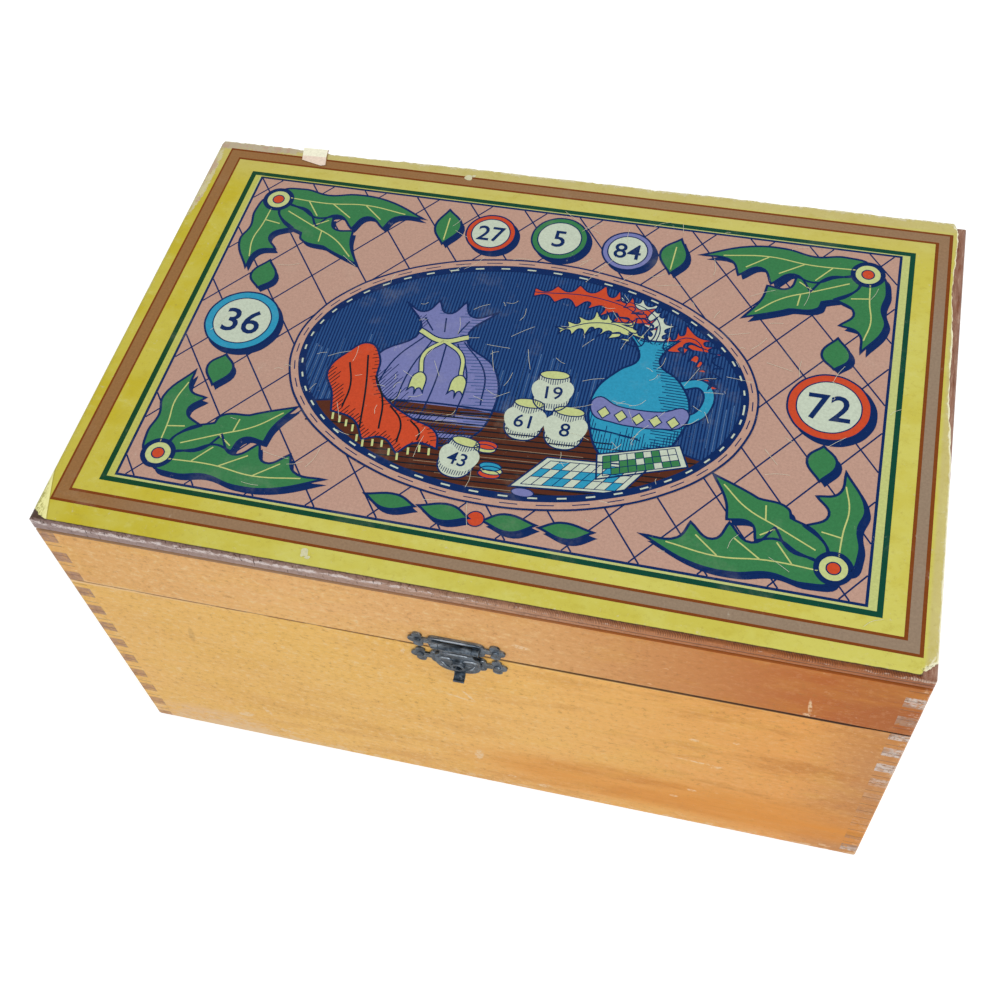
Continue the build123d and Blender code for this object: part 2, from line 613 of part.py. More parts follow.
def drawing_bag():
    """Folded cloth bag lying on the front half of the cards."""
    low = BOTTOM_THICKNESS + CARD_COUNT * CARD_THICKNESS + BAG_CLEARANCE
    with BuildPart() as bag:
        with BuildSketch(Plane.XY.offset(low)):
            with Locations((CARD_X, (BAG_LENGTH - CARD_LENGTH) / 2 + BAG_FROM_CARD_END)):
                RectangleRounded(BAG_WIDTH, BAG_LENGTH, BAG_CORNER_RADIUS)
        extrude(amount=BAG_THICKNESS)
        fillet(bag.edges().group_by(Axis.Z)[-1] + bag.edges().group_by(Axis.Z)[0], BAG_EDGE_ROUND)
    write_piece(bag, "drawing_bag")


def number_pieces():
    """Turned number pieces, balls cut flat at both ends with a sunk face, packed in rows and layers."""
    columns = int(RIGHT_BAY_WIDTH // NUMBER_PITCH)
    per_layer = columns * NUMBER_ROWS
    middle_x = RIGHT_BAY_LOW_X + RIGHT_BAY_WIDTH / 2
    middle_y = INNER_DEPTH / 2 - NUMBER_BAY_DEPTH / 2
    places = []
    for count in range(NUMBER_COUNT):
        layer, cell = divmod(count, per_layer)
        row, column = divmod(cell, columns)
        places.append((middle_x + (column - (columns - 1) / 2) * NUMBER_PITCH,
                       middle_y + (row - (NUMBER_ROWS - 1) / 2) * NUMBER_PITCH,
                       BOTTOM_THICKNESS + layer * (NUMBER_HEIGHT + LAYER_GAP)))
    with BuildPart() as piece:
        with Locations((0, 0, NUMBER_HEIGHT / 2)):
            Sphere(NUMBER_RADIUS)
            Cylinder(NUMBER_RADIUS, NUMBER_HEIGHT, mode=Mode.INTERSECT)
        with Locations((0, 0, NUMBER_HEIGHT)):
            Cylinder(NUMBER_END_RADIUS - NUMBER_RIM_WIDTH, 2 * NUMBER_FACE_DEPTH, mode=Mode.SUBTRACT)
    with BuildPart() as pieces:
        with Locations(*places):
            add(piece.part)
    write_piece(pieces, "number_pieces")


def counters():
    """Small round counters, stacked in rows in the front bay, no two stacks quite straight."""
    bay_low_y = -INNER_DEPTH / 2
    bay_high_y = SHORT_DIVIDER_Y - DIVIDER_THICKNESS / 2
    columns = int(RIGHT_BAY_WIDTH // COUNTER_PITCH)
    rows = ceil(COUNTER_STACKS / columns)
    middle_x = RIGHT_BAY_LOW_X + RIGHT_BAY_WIDTH / 2
    middle_y = (bay_low_y + bay_high_y) / 2
    with BuildPart() as discs:
        for level in range(COUNTERS_PER_STACK):
            places = []
            for stack in range(COUNTER_STACKS):
                row, column = divmod(stack, columns)
                shift_x, shift_y = stack_shift(level, stack)
                places.append((middle_x + (column - (columns - 1) / 2) * COUNTER_PITCH + shift_x,
                               middle_y + (row - (rows - 1) / 2) * COUNTER_PITCH + shift_y))
            with BuildSketch(Plane.XY.offset(BOTTOM_THICKNESS + level * (COUNTER_THICKNESS + LAYER_GAP))):
                with Locations(*places):
                    Circle(COUNTER_RADIUS)
            extrude(amount=COUNTER_THICKNESS)
    write_piece(discs, "counters")


def main():
    """Builds and writes every piece."""
    os.makedirs("parts", exist_ok=True)
    base_boards()
    lid_boards()
    bottom_panel()
    bottom_brads()
    top_board()
    lid_label()
    hinges()
    catch()
    dividers()
    cards()
    drawing_bag()
    number_pieces()
    counters()


main()
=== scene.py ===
"""Looks of an old wooden lotto box: varnish, printed label, stamped catch and the game inside.

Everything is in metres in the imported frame. Sizes in the classes are in millimetres, as a joiner
would write them, and are scaled by MM where a mesh is made.
"""
import logging
import math
import random
from collections.abc import Callable, Iterable, Sequence
from dataclasses import dataclass, field
from enum import Enum

import bmesh
import bpy
from bmesh.types import BMesh
from bpy.types import Material, Object
from mathutils import Euler, Matrix, Vector, noise


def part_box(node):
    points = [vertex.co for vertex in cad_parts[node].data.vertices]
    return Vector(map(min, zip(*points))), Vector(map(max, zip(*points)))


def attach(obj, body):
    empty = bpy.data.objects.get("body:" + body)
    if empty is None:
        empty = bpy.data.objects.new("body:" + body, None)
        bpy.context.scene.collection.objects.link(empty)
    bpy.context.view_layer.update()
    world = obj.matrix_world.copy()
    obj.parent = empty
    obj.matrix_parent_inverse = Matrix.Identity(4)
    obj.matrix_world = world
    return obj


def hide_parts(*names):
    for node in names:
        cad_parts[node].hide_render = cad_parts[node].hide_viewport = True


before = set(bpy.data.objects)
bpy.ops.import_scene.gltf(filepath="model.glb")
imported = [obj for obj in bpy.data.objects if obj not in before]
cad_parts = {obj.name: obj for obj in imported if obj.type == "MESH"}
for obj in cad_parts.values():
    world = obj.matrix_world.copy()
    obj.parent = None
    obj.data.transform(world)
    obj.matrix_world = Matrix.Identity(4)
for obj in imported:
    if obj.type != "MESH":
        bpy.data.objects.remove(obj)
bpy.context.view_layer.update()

LOG = logging.getLogger("lotto_box")
MM = 0.001
TAU = math.tau
Point = tuple[float, float]
Colour = tuple[float, float, float]
Pair = tuple[Colour, Colour]
Stops = tuple[tuple[float, Colour], ...]
# points of a line; a third number marks a sharp corner
Path = Sequence[Sequence[float]]
Edges = list[tuple[Vector, Vector]]
Size = Sequence[float] | float

CASE_HALF_WIDTH = 134.0
CASE_HALF_DEPTH = 85.0
INNER_HALF_WIDTH = 128.0
INNER_HALF_DEPTH = 79.0
SEAM_LEVEL = 104.15
TOP_BOARD_LOW = 134.0
TOP_BOARD_HIGH = 141.0
COMB_FINGER = 6.0
WHITE = (1.0, 1.0, 1.0, 1.0)


def arithmetic(operation: str, turned: bool = False) -> Callable[..., "Signal"]:
    """Make an operator that works in a material's nodes.

    Args:
        operation: The node's operation.
        turned: Whether the signal stands to the right of the sign.

    Returns:
        The operator.
    """
    def operator(self: "Signal", *other: "Signal | float") -> "Signal":
        """Add the node."""
        return self.graph.math(operation, *((*other, self) if turned else (self, *other)))

    return operator


@dataclass(frozen=True)
class Signal:
    """One value or colour on its way through a material's nodes; a comparison is 1 where it holds, 0 elsewhere."""

    graph: "Graph"
    socket: bpy.types.NodeSocket

    __add__ = __radd__ = arithmetic("ADD")
    __sub__ = arithmetic("SUBTRACT")
    __rsub__ = arithmetic("SUBTRACT", turned=True)
    __mul__ = __rmul__ = arithmetic("MULTIPLY")
    __truediv__ = arithmetic("DIVIDE")
    __gt__ = arithmetic("GREATER_THAN")
    __lt__ = arithmetic("LESS_THAN")
    __abs__ = arithmetic("ABSOLUTE")

    def between(self, low: float, high: float) -> "Signal":
        """Smooth step, either way round.

        Args:
            low: Value that gives 0.
            high: Value that gives 1.

        Returns:
            The step.
        """
        inputs = {"Value": self, "From Min": low, "From Max": high, "To Min": 0.0, "To Max": 1.0}
        node = self.graph.add("ShaderNodeMapRange", inputs, interpolation_type="SMOOTHSTEP")
        return Signal(self.graph, node.outputs[0])

    def cycle(self, period: float) -> "Signal":
        """Distance to the nearest whole multiple of period."""
        return self.graph.math("PINGPONG", self, period / 2)


Value = Signal | float
Tint = Signal | Colour


class Graph:
    """One material's node tree, built by calls that return signals, and what is painted with it so far."""

    def __init__(self, name: str) -> None:
        """Start an empty material.

        Args:
            name: The material's name.
        """
        self.material = bpy.data.materials.new(name)
        self.material.use_nodes = True
        self.tree = self.material.node_tree
        self.shader = self.tree.nodes["Principled BSDF"]
        coordinates = self.tree.nodes.new("ShaderNodeTexCoord")
        self.place = self.vector("MULTIPLY", Signal(self, coordinates.outputs["Object"]), (1 / MM,) * 3)
        self.x, self.y, self.z = self.split(self.place)
        self.normal = self.split(Signal(self, coordinates.outputs["Normal"]))
        self.colour: Tint = (1.0, 1.0, 1.0)

    def add(self, kind: str, inputs: dict, **settings: object) -> bpy.types.Node:
        """Add a node.

        Args:
            kind: The node's type name.
            inputs: Input sockets by name or number, each a signal or a plain value.
            settings: The node's own properties.

        Returns:
            The node.
        """
        node = self.tree.nodes.new(kind)
        for key, value in settings.items():
            setattr(node, key, value)
        for key, value in inputs.items():
            self.feed(node.inputs[key], value)
        return node

    def feed(self, socket: bpy.types.NodeSocket, value: object) -> None:
        """Link a signal to a socket, or set a plain value on it.

        Args:
            socket: The input socket.
            value: A signal, a number, a colour or a vector.
        """
        if isinstance(value, Signal):
            self.tree.links.new(value.socket, socket)
        elif socket.type == "RGBA" and len(value) == 3:
            socket.default_value = (*value, 1.0)
        else:
            socket.default_value = value

    def math(self, operation: str, *values: Value) -> Signal:
        """Arithmetic on one to three values."""
        node = self.add("ShaderNodeMath", dict(enumerate(values)), operation=operation)
        return Signal(self, node.outputs[0])

    def vector(self, operation: str, a: Signal, b: Sequence[float]) -> Signal:
        """Arithmetic on vectors."""
        return Signal(self, self.add("ShaderNodeVectorMath", {0: a, 1: b}, operation=operation).outputs[0])

    def split(self, vector: Signal) -> tuple[Signal, Signal, Signal]:
        """The three parts of a vector."""
        node = self.add("ShaderNodeSeparateXYZ", {0: vector})
        return tuple(Signal(self, out) for out in node.outputs)

    def across(self) -> Signal:
        """Place from 0 at the case's left side to 1 at its right."""
        return (self.x + CASE_HALF_WIDTH) / (2 * CASE_HALF_WIDTH)

    def attribute(self, name: str, output: str) -> Signal:
        """A value or colour that the mesh holds."""
        return Signal(self, self.add("ShaderNodeAttribute", {}, attribute_name=name).outputs[output])

    def sized(self, size: Size, seed: float = 0.0, place: Signal | None = None) -> Signal:
        """The surface's place counted in features of the given size.

        Args:
            size: Feature size in millimetres, one number or one for each axis.
            seed: Shift that makes one pattern differ from the next.
            place: Place to use instead of the object's own, in millimetres.

        Returns:
            Texture coordinates.
        """
        size = (size,) * 3 if isinstance(size, (int, float)) else size
        counted = self.vector("DIVIDE", place or self.place, tuple(size))
        return self.vector("ADD", counted, (seed * 7.31, seed * 3.17, seed * 5.77))

    def noise(
        self, size: Size, seed: float = 0.0, detail: float = 2.0, rough: float = 0.5, place: Signal | None = None,
    ) -> Signal:
        """Cloudy noise between 0 and 1, with a number of finer layers that are more or less strong."""
        inputs = {"Vector": self.sized(size, seed, place), "Scale": 1.0, "Detail": detail, "Roughness": rough}
        return Signal(self, self.add("ShaderNodeTexNoise", inputs).outputs[0])

    def cells(self, size: Size, seed: float = 0.0) -> tuple[Signal, Signal]:
        """Scattered dots.

        Args:
            size: Cell size in millimetres, one number or one for each axis.
            seed: Shift that makes one pattern differ from the next.

        Returns:
            Distance to the nearest dot, in cells, and that dot's own number between 0 and 1.
        """
        node = self.add("ShaderNodeTexVoronoi", {"Vector": self.sized(size, seed), "Scale": 1.0})
        parts = self.split(Signal(self, node.outputs["Color"]))
        return Signal(self, node.outputs["Distance"]), parts[0]

    def mark(self, x: float, z: float, half_x: float, half_z: float, lean: float = 0.0) -> Signal:
        """1 inside a small oval mark on an upright face, fading to 0 at its rim.

        Args:
            x: Its centre, to the right, in millimetres.
            z: Its centre, upward.
            half_x: Half its width.
            half_z: Half its height.
            lean: Turn, in degrees.

        Returns:
            The mark.
        """
        cos, sin = math.cos(math.radians(lean)), math.sin(math.radians(lean))
        across = ((self.x - x) * cos + (self.z - z) * sin) / half_x
        up = ((self.z - z) * cos - (self.x - x) * sin) / half_z
        return (across * across + up * up).between(1.0, 0.25)

    def mark_flat(self, x: float, y: float, half_x: float, half_y: float) -> Signal:
        """1 inside an oval mark seen from above, fading to 0 at its rim."""
        across, deep = (self.x - x) / half_x, (self.y - y) / half_y
        return (across * across + deep * deep).between(1.0, 0.25)

    def most(self, *values: Value) -> Signal:
        """The largest of several values.

        Args:
            values: The values, the first of them a signal.

        Returns:
            The largest.
        """
        total = values[0]
        for other in values[1:]:
            total = self.math("MAXIMUM", total, other)
        return total

    def blend(self, share: Value, a: Tint, b: Tint, mode: str = "MIX") -> Signal:
        """Two colours mixed.

        Args:
            share: Share of b.
            a: Colour at 0.
            b: Colour at 1.
            mode: The node's blend mode.

        Returns:
            The colour.
        """
        node = self.add("ShaderNodeMix", {}, data_type="RGBA", blend_type=mode)
        for number, value in ((0, share), (6, a), (7, b)):
            self.feed(node.inputs[number], value)
        return Signal(self, node.outputs[2])

    def paint(self, share: Value, tint: Tint) -> None:
        """Lay a colour over what is painted so far."""
        self.colour = self.blend(share, self.colour, tint)

    def stain(self, share: Value, tint: Tint) -> None:
        """Darken what is painted so far, as a clear colour over it does."""
        self.colour = self.blend(share, self.colour, tint, "MULTIPLY")

    def ramp(self, factor: Signal, stops: Stops, steps: bool = False) -> Signal:
        """A colour that changes with a value.

        Args:
            factor: The value.
            stops: Positions and their colours, in order.
            steps: Whether the colour jumps from stop to stop.

        Returns:
            The colour.
        """
        node = self.add("ShaderNodeValToRGB", {0: factor})
        ramp = node.color_ramp
        if steps:
            ramp.interpolation = "CONSTANT"
        while len(ramp.elements) < len(stops):
            ramp.elements.new(0.5)
        for element, (position, colour) in zip(ramp.elements, stops):
            element.position = position
            element.color = (*colour, 1.0)
        return Signal(self, node.outputs[0])

    def finish(self, rough: Value, relief: Signal, **constants: float) -> Material:
        """Connect the shader to what is painted.

        Args:
            rough: Roughness.
            relief: Height of the surface detail, in millimetres.
            constants: Other shader inputs, with underscores for spaces.

        Returns:
            The finished material.
        """
        self.feed(self.shader.inputs["Base Color"], self.colour)
        self.feed(self.shader.inputs["Roughness"], rough)
        for key, value in constants.items():
            self.feed(self.shader.inputs[key.replace("_", " ")], value)
        bump = self.add("ShaderNodeBump", {"Height": relief, "Distance": MM, "Strength": 1.0})
        self.tree.links.new(bump.outputs[0], self.shader.inputs["Normal"])
        return self.material


class Grain(Enum):
    """The way a board's fibres run."""

    ACROSS = 0
    DEEP = 1


@dataclass(frozen=True)
class VarnishedWood:
    """Old golden varnish on the comb-jointed boards, redder to the right and on the lid."""

    grain: Grain
    stops: tuple[float, ...] = (0.03, 0.3, 0.58, 0.89, 0.97)
    base_colours: tuple[Colour, ...] = (
        (0.98, 0.55, 0.13), (1.0, 0.585, 0.14), (1.0, 0.55, 0.14), (0.92, 0.4, 0.08), (0.66, 0.275, 0.07),
    )
    lid_colours: tuple[Colour, ...] = (
        (0.9, 0.465, 0.13), (0.98, 0.54, 0.19), (0.86, 0.44, 0.15), (0.54, 0.128, 0.006), (0.47, 0.115, 0.006),
    )
    ember: Colour = (0.66, 0.235, 0.018)
    gold: Colour = (0.96, 0.545, 0.095)
    straw: Colour = (1.0, 0.69, 0.33)
    toast: Colour = (0.46, 0.165, 0.024)
    glow: Colour = (0.84, 0.3, 0.006)
    soot: Colour = (0.34, 0.15, 0.05)
    fibre: Colour = (0.55, 0.25, 0.05)
    pore: Colour = (0.38, 0.17, 0.055)
    haze: Colour = (0.9, 0.63, 0.44)
    worn: Colour = (1.0, 0.73, 0.45)
    smudge: Colour = (0.42, 0.19, 0.05)
    # painted shade of the gap at the saw line, brown at the left and near black at the right
    seam: Stops = ((0.0, (0.52, 0.27, 0.11)), (0.28, (0.26, 0.11, 0.045)), (0.62, (0.04, 0.016, 0.008)))
    end: Pair = ((0.5, 0.265, 0.165), (0.46, 0.25, 0.15))
    end_rings: Colour = (0.25, 0.11, 0.065)
    end_faded: Colour = (0.68, 0.345, 0.13)
    chalk: Colour = (0.8, 0.7, 0.63)
    rubbed: Colour = (0.84, 0.7, 0.6)
    glue: Colour = (0.16, 0.065, 0.035)
    ledge: Pair = ((0.36, 0.25, 0.19), (0.36, 0.11, 0.035))
    bare: Pair = ((0.62, 0.42, 0.22), (0.47, 0.29, 0.14))
    # pale knocks on the front, as x, z, half width, half height and lean
    knocks: tuple[tuple[float, ...], ...] = (
        (-3.9, 70.1, 6.5, 0.75, -16), (-1.3, 72.8, 4.8, 0.65, -60), (-20.5, 97.5, 0.9, 2.6, -15),
        (18.5, 115.0, 3.5, 1.3, -10), (104.3, 110.5, 0.7, 6.0, 6), (104.6, 105.8, 2.2, 1.2, 0),
        (75.0, 55.2, 9.0, 0.65, -5), (81.0, 53.6, 2.8, 0.8, 30), (73.0, 72.3, 2.2, 1.1, 0),
        (86.0, 75.7, 1.4, 0.9, 0), (74.3, 30.3, 2.0, 1.1, 0), (68.5, 22.0, 1.8, 1.0, 0), (9.5, 9.4, 2.2, 1.2, 0),
        (21.5, 6.2, 3.6, 1.6, 10), (-82.5, 23.8, 1.2, 4.5, 12), (-79.0, 8.5, 3.0, 1.6, 0),
        (-1.7, 24.0, 2.0, 5.5, -8), (-93.0, 17.0, 4.5, 2.2, 20),
    )
    # width of the worn strip at the case's upright corners
    corner_width: float = 5.0
    # how far in from the outside the front, the sides and the saw line are told from the rest
    skin: float = 1.0
    seam_skin: float = 1.2

    def material(self) -> Material:
        """Make the material.

        Returns:
            The material.
        """
        g = Graph(f"varnished_wood_{self.grain.name.lower()}")
        deep = self.grain is Grain.DEEP

        def long(length: float, thick: float) -> Colour:
            """A feature size that follows the grain."""
            return (thick, length, thick) if deep else (length, thick, thick)

        across = g.across()
        on_lid = g.z > SEAM_LEVEL
        front = g.y < -CASE_HALF_DEPTH + self.skin
        g.colour = g.blend(on_lid, g.ramp(across, tuple(zip(self.stops, self.base_colours))),
                           g.ramp(across, tuple(zip(self.stops, self.lid_colours))))
        ember = g.noise(long(55.0, 15.0), 1, 4, 0.62).between(0.45, 0.64)
        g.paint(ember * (0.12 + across.between(0.4, 0.85) * 0.6 + g.z.between(60.0, 10.0) * 0.25), self.ember)
        gold = g.noise(long(30.0, 15.0), 2, 5, 0.68).between(0.46, 0.64) * (1.0 - across * 0.6)
        g.paint(gold * (0.55 - on_lid * 0.3), self.gold)
        mottle = g.noise(long(2.5, 1.9), 3, 6, 0.8)
        dull = 1.0 - across.between(0.38, 0.8) * (0.68 + on_lid * 0.17)
        g.paint(mottle.between(0.51, 0.64) * dull * 0.72, self.straw)
        g.paint(mottle.between(0.46, 0.32) * 0.55, self.toast)
        low = g.z.between(4.0, 14.0) * g.z.between(44.0, 22.0) * across.between(0.42, 0.6)
        g.paint(low * g.noise(long(60.0, 9.0), 16, 3) * 1.45, self.glow)
        g.paint(g.noise(long(0.9, 0.6), 13, 3, 0.75).between(0.57, 0.74) * 0.26, self.soot)
        fibre = g.noise(long(16.0, 0.6), 4, 2, 0.6)
        g.paint(fibre.between(0.5, 0.74) * 0.2, self.fibre)
        crowd = g.noise(26.0, 5, 2).between(0.44, 0.6) * (0.15 + on_lid * 0.85)
        dots, pick = g.cells(long(1.7, 0.62), 6)
        pores = (0.32 - dots).between(0.0, 0.16) * (pick < (0.07 + crowd * 0.5))
        g.paint(pores * 0.26, self.pore)
        # worn varnish: along the foot, up the corners, and knocks on the front
        foot = g.z.between(8.0, 0.0)
        haze = g.noise((9.0, 9.0, 3.5), 17, 5, 0.72).between(0.34, 0.6) * g.mark(-110.0, 1.0, 34.0, 19.0) * front
        g.paint(haze * 0.46, self.haze)
        corner = abs(g.x).between(CASE_HALF_WIDTH - self.corner_width, CASE_HALF_WIDTH)
        corner = corner * abs(g.y).between(CASE_HALF_DEPTH - self.corner_width, CASE_HALF_DEPTH)
        ragged = g.noise((5.0, 5.0, 2.6), 7, 6, 0.76)
        bruise = (g.mark(-88.0, 3.0, 46.0, 13.0) * 0.08 + g.mark(-101.0, 6.0, 19.0, 11.0) * 0.07) * front
        scuff = (ragged - 0.635 + foot * 0.16 + corner * 0.07 + bruise).between(0.0, 0.09)
        dents = g.most(*[g.mark(*knock) for knock in self.knocks]) * front
        dents = dents * g.noise(1.3, 12, 3, 0.7).between(0.36, 0.58)
        scuff = g.most(scuff * 0.62, dents * 0.85)
        g.paint(scuff, self.worn)
        g.paint(g.mark(-97.6, 79.0, 1.3, 6.8, -8.0) * front * 0.24, self.smudge)
        # saw line between base and lid: pale worn wood and a broken line of painted shade at the left, a dark band
        # of painted shade round the gap at the right
        gap = abs(g.z - SEAM_LEVEL + 0.1)
        broken = g.noise((7.0, 7.0, 3.0), 8, 3, 0.6).between(0.32, 0.5)
        g.paint(gap.between(1.5, 0.5) * across.between(0.35, 0.0) * 0.6, self.worn)
        width = 0.42 + across.between(0.25, 0.75) * 0.4 * g.x.between(124.0, 116.0)
        seam = (width - gap).between(0.0, 0.2) * (0.62 + across * 0.38) * g.most(broken, across.between(0.3, 0.6))
        # end grain shows at every second finger of the comb
        end = abs(g.normal[1 if deep else 0]) > 0.6
        ends = g.blend(across, *self.end)
        ends = g.blend(g.noise((1.1, 1.1, 6.0), 9, 3, 0.7).between(0.4, 0.7) * 0.45, ends, self.end_rings)
        ends = g.blend(g.z.between(80.0, 10.0) * (1.0 - across) * 0.55, ends, self.end_faded)
        streaks = g.noise((1.7, 1.7, 1.2), 10, 5, 0.82)
        chalk = 0.1 + across * g.noise((30.0, 30.0, 13.0), 14, 1).between(0.38, 0.5) * 0.9
        ends = g.blend(streaks.between(0.4, 0.53) * chalk, ends, self.chalk)
        # at the right they show under the seam and at the foot, and hardly between
        shown = g.most(g.z.between(58.0, 74.0), g.z.between(22.0, 13.0), across.between(0.6, 0.4), 0.22)
        patch = g.noise(2.4, 15, 4, 0.75).between(0.3, 0.52) * 0.9
        g.paint(end * g.most(patch * shown, 0.55 - across * 0.5), ends)
        rubbed = (streaks + corner * 0.1 - 0.64).between(0.0, 0.08) * corner.between(0.0, 0.4) * across
        g.paint(rubbed * shown * 0.65, self.rubbed)
        joint = g.z.cycle(COMB_FINGER).between(0.3, 0.08)
        joint = joint * (abs(g.x) > INNER_HALF_WIDTH) * (abs(g.y) > INNER_HALF_DEPTH)
        g.paint(joint * 0.5, self.glue)
        # inside and on the sawn rims the wood is bare
        inner = (abs(g.x) < INNER_HALF_WIDTH + 0.1) * (abs(g.y) < INNER_HALF_DEPTH + 0.1)
        bare = g.most(inner, (abs(g.normal[2]) > 0.7) * (g.z < TOP_BOARD_LOW - 0.1))
        ledge = (g.normal[2] > 0.7) * (g.z > TOP_BOARD_LOW - 0.1)
        g.paint(ledge * 0.75, g.blend(across.between(0.3, 0.7), *self.ledge))
        raw = g.blend(g.noise(long(30.0, 1.6), 11, 3, 0.6), *self.bare)
        g.paint(bare, g.blend(pores * 0.5, raw, self.pore))
        # the painted shade of the gap, on the outer skin and on the outer edge of the sawn rims
        outside = g.most(abs(g.x) > CASE_HALF_WIDTH - self.seam_skin, abs(g.y) > CASE_HALF_DEPTH - self.seam_skin)
        g.paint(seam * outside, g.ramp(across, self.seam))
        rough = 0.32 + fibre * 0.1 + scuff * 0.3 + end * 0.2 + bare * 0.25
        relief = fibre * 0.03 + mottle * 0.04 - pores * 0.05 - joint * 0.1 - scuff * 0.04
        return g.finish(rough, relief, Specular_IOR_Level=0.12)


@dataclass(frozen=True)
class NosedWood:
    """Dark stain on the lid's rounded top board, rubbed pale along its edge."""

    stains: Stops = (
        (0.0, (0.4, 0.285, 0.265)), (0.33, (0.46, 0.315, 0.265)), (0.52, (0.56, 0.32, 0.205)),
        (0.7, (0.55, 0.225, 0.095)), (0.85, (0.5, 0.165, 0.046)), (1.0, (0.4, 0.135, 0.052)),
    )
    streak: Colour = (0.62, 0.26, 0.1)
    mottle: Colour = (0.42, 0.36, 0.34)
    shade: Colour = (0.34, 0.28, 0.24)
    worn: Pair = ((0.88, 0.77, 0.74), (0.74, 0.55, 0.44))
    dent: Colour = (0.06, 0.02, 0.012)
    tan: Pair = ((0.3, 0.155, 0.105), (0.5, 0.33, 0.24))
    edge: Colour = (0.06, 0.032, 0.02)
    # painted shade of the quirk, and painted shadow along the foot of the nosing
    quirk: Colour = (0.08, 0.03, 0.016)
    bare: Pair = ((0.58, 0.4, 0.23), (0.42, 0.25, 0.12))
    notch: float = 0.66

    def material(self) -> Material:
        """Make the material.

        Returns:
            The material.
        """
        g = Graph("nosed_wood")
        across = g.across()
        right = across.between(0.3, 0.78)
        g.colour = g.ramp(across, self.stains)
        streak = g.noise((9.0, 9.0, 0.5), 1, 4, 0.65)
        g.paint(streak.between(0.45, 0.7) * right * 0.4, self.streak)
        g.stain(g.noise(1.5, 7, 5, 0.8).between(0.52, 0.34) * 0.6, self.mottle)
        # rubbed to pale wood along the crown, most at the left, and at the right corner
        g.stain(g.z.between(139.0, 140.3) * (0.62 + right * 0.15), self.shade)
        crown = abs(g.z - 138.9).between(1.7, 0.2)
        corner = g.x.between(112.0, 132.0) * g.z.between(137.5, 139.0)
        fleck = g.noise((2.8, 2.8, 1.2), 3, 6, 0.8)
        rubbed = (fleck + crown * 0.16 - right * 0.12 + corner * 0.15).between(0.6, 0.68)
        g.paint(rubbed * (0.22 + crown * 0.66), g.blend(right, *self.worn))
        # dark nicks at the left, a row of small notches at the right
        nick = g.noise((0.8, 0.8, 4.0), 2, 2, 0.7).between(0.62, 0.67) * (1.0 - right * 0.8)
        row = (g.x + g.y + g.noise(5.0, 8, 1) * 1.5).cycle(self.notch).between(0.24, 0.06)
        row = row * g.z.between(137.9, 138.8) * g.noise(14.0, 5, 3).between(0.34, 0.54) * right
        dent = g.most(nick * 0.85, row * 0.55)
        g.paint(dent, self.dent)
        # worn to tan along the right side
        side = g.x.between(129.4, 130.4) * g.z.between(138.6, 140.2)
        grain = g.noise((1.0, 9.0, 2.0), 9, 5, 0.75)
        g.paint(side * grain.between(0.34, 0.5) * 0.85, self.tan[0])
        g.paint(side * grain.between(0.52, 0.62) * 0.55, self.tan[1])
        edge = (g.z + g.noise(1.3, 6, 3, 0.7) * 0.8).between(140.7, 141.05) * (1.0 - side)
        g.paint(edge * 0.85, self.edge)
        # painted shade: a dark line along the quirk, most at the right, and a thin painted shadow along the foot of
        # the nosing
        quirk = abs(g.z - 137.1).between(0.42, 0.12) * (0.12 + right * 0.7)
        foot = g.z.between(134.5, 134.1) * (0.35 + right * 0.5)
        g.paint(g.most(quirk, foot) * 0.75, self.quirk)
        inner = (g.normal[2] < -0.7) * (abs(g.x) < INNER_HALF_WIDTH) * (abs(g.y) < INNER_HALF_DEPTH)
        g.paint(inner, g.blend(g.noise((32.0, 1.8, 4.0), 4, 3, 0.6) * 0.7, *self.bare))
        rough = 0.38 + rubbed * 0.3 + inner * 0.25
        relief = streak * 0.05 - quirk * 0.14 - dent * 0.08
        return g.finish(rough, relief, Specular_IOR_Level=0.1)


@dataclass(frozen=True)
class BareWood:
    """Plain unvarnished wood inside the box."""

    light: Colour = (0.66, 0.48, 0.29)
    dark: Colour = (0.5, 0.33, 0.18)
    cloud: Colour = (0.4, 0.27, 0.16)

    def material(self) -> Material:
        """Make the material.

        Returns:
            The material.
        """
        g = Graph("bare_wood")
        fibre = g.noise((30.0, 1.4, 1.4), 1, 3, 0.62)
        cloud = g.noise((60.0, 18.0, 18.0), 2, 2)
        g.colour = g.blend(fibre.between(0.3, 0.75), self.light, self.dark)
        g.paint(cloud.between(0.45, 0.75) * 0.3, self.cloud)
        return g.finish(0.62 + fibre * 0.12, fibre * 0.05)


@dataclass(frozen=True)
class Metal:
    """Sheet metal with rubbed spots, a painted highlight on its upward faces up high, and dirt in its hollows."""

    name: str
    colour: Colour
    tint: Colour
    rubbed: Colour
    metallic: float
    rough: float
    dirt: Colour = (0.3, 0.32, 0.34)
    # over this level the upward faces get a painted highlight
    handled: float = 97.0

    def material(self) -> Material:
        """Make the material.

        Returns:
            The material.
        """
        g = Graph(self.name)
        cloud = g.noise(3.0, 1, 5, 0.7)
        g.colour = g.blend(cloud.between(0.42, 0.62), self.colour, self.tint)
        rub = g.noise((2.4, 2.4, 1.0), 2, 4, 0.65).between(0.58, 0.74)
        # painted highlight on the upward faces over the set level, laid on with the rubbed spots
        above = g.normal[2].between(0.15, 0.9) * g.noise((6.0, 2.0, 2.0), 3, 2, 0.5).between(0.32, 0.58)
        g.paint(g.most(rub * 0.5, above * (g.z > self.handled) * 0.42), self.rubbed)
        dirt = g.noise(1.3, 4, 4, 0.7).between(0.5, 0.64)
        g.stain(dirt * 0.65, self.dirt)
        rough = self.rough + cloud * 0.12 + dirt * 0.12 - rub * 0.1
        relief = cloud * 0.1 + g.noise(1.7, 5, 2) * 0.14 - dirt * 0.03
        return g.finish(rough, relief, Metallic=self.metallic)


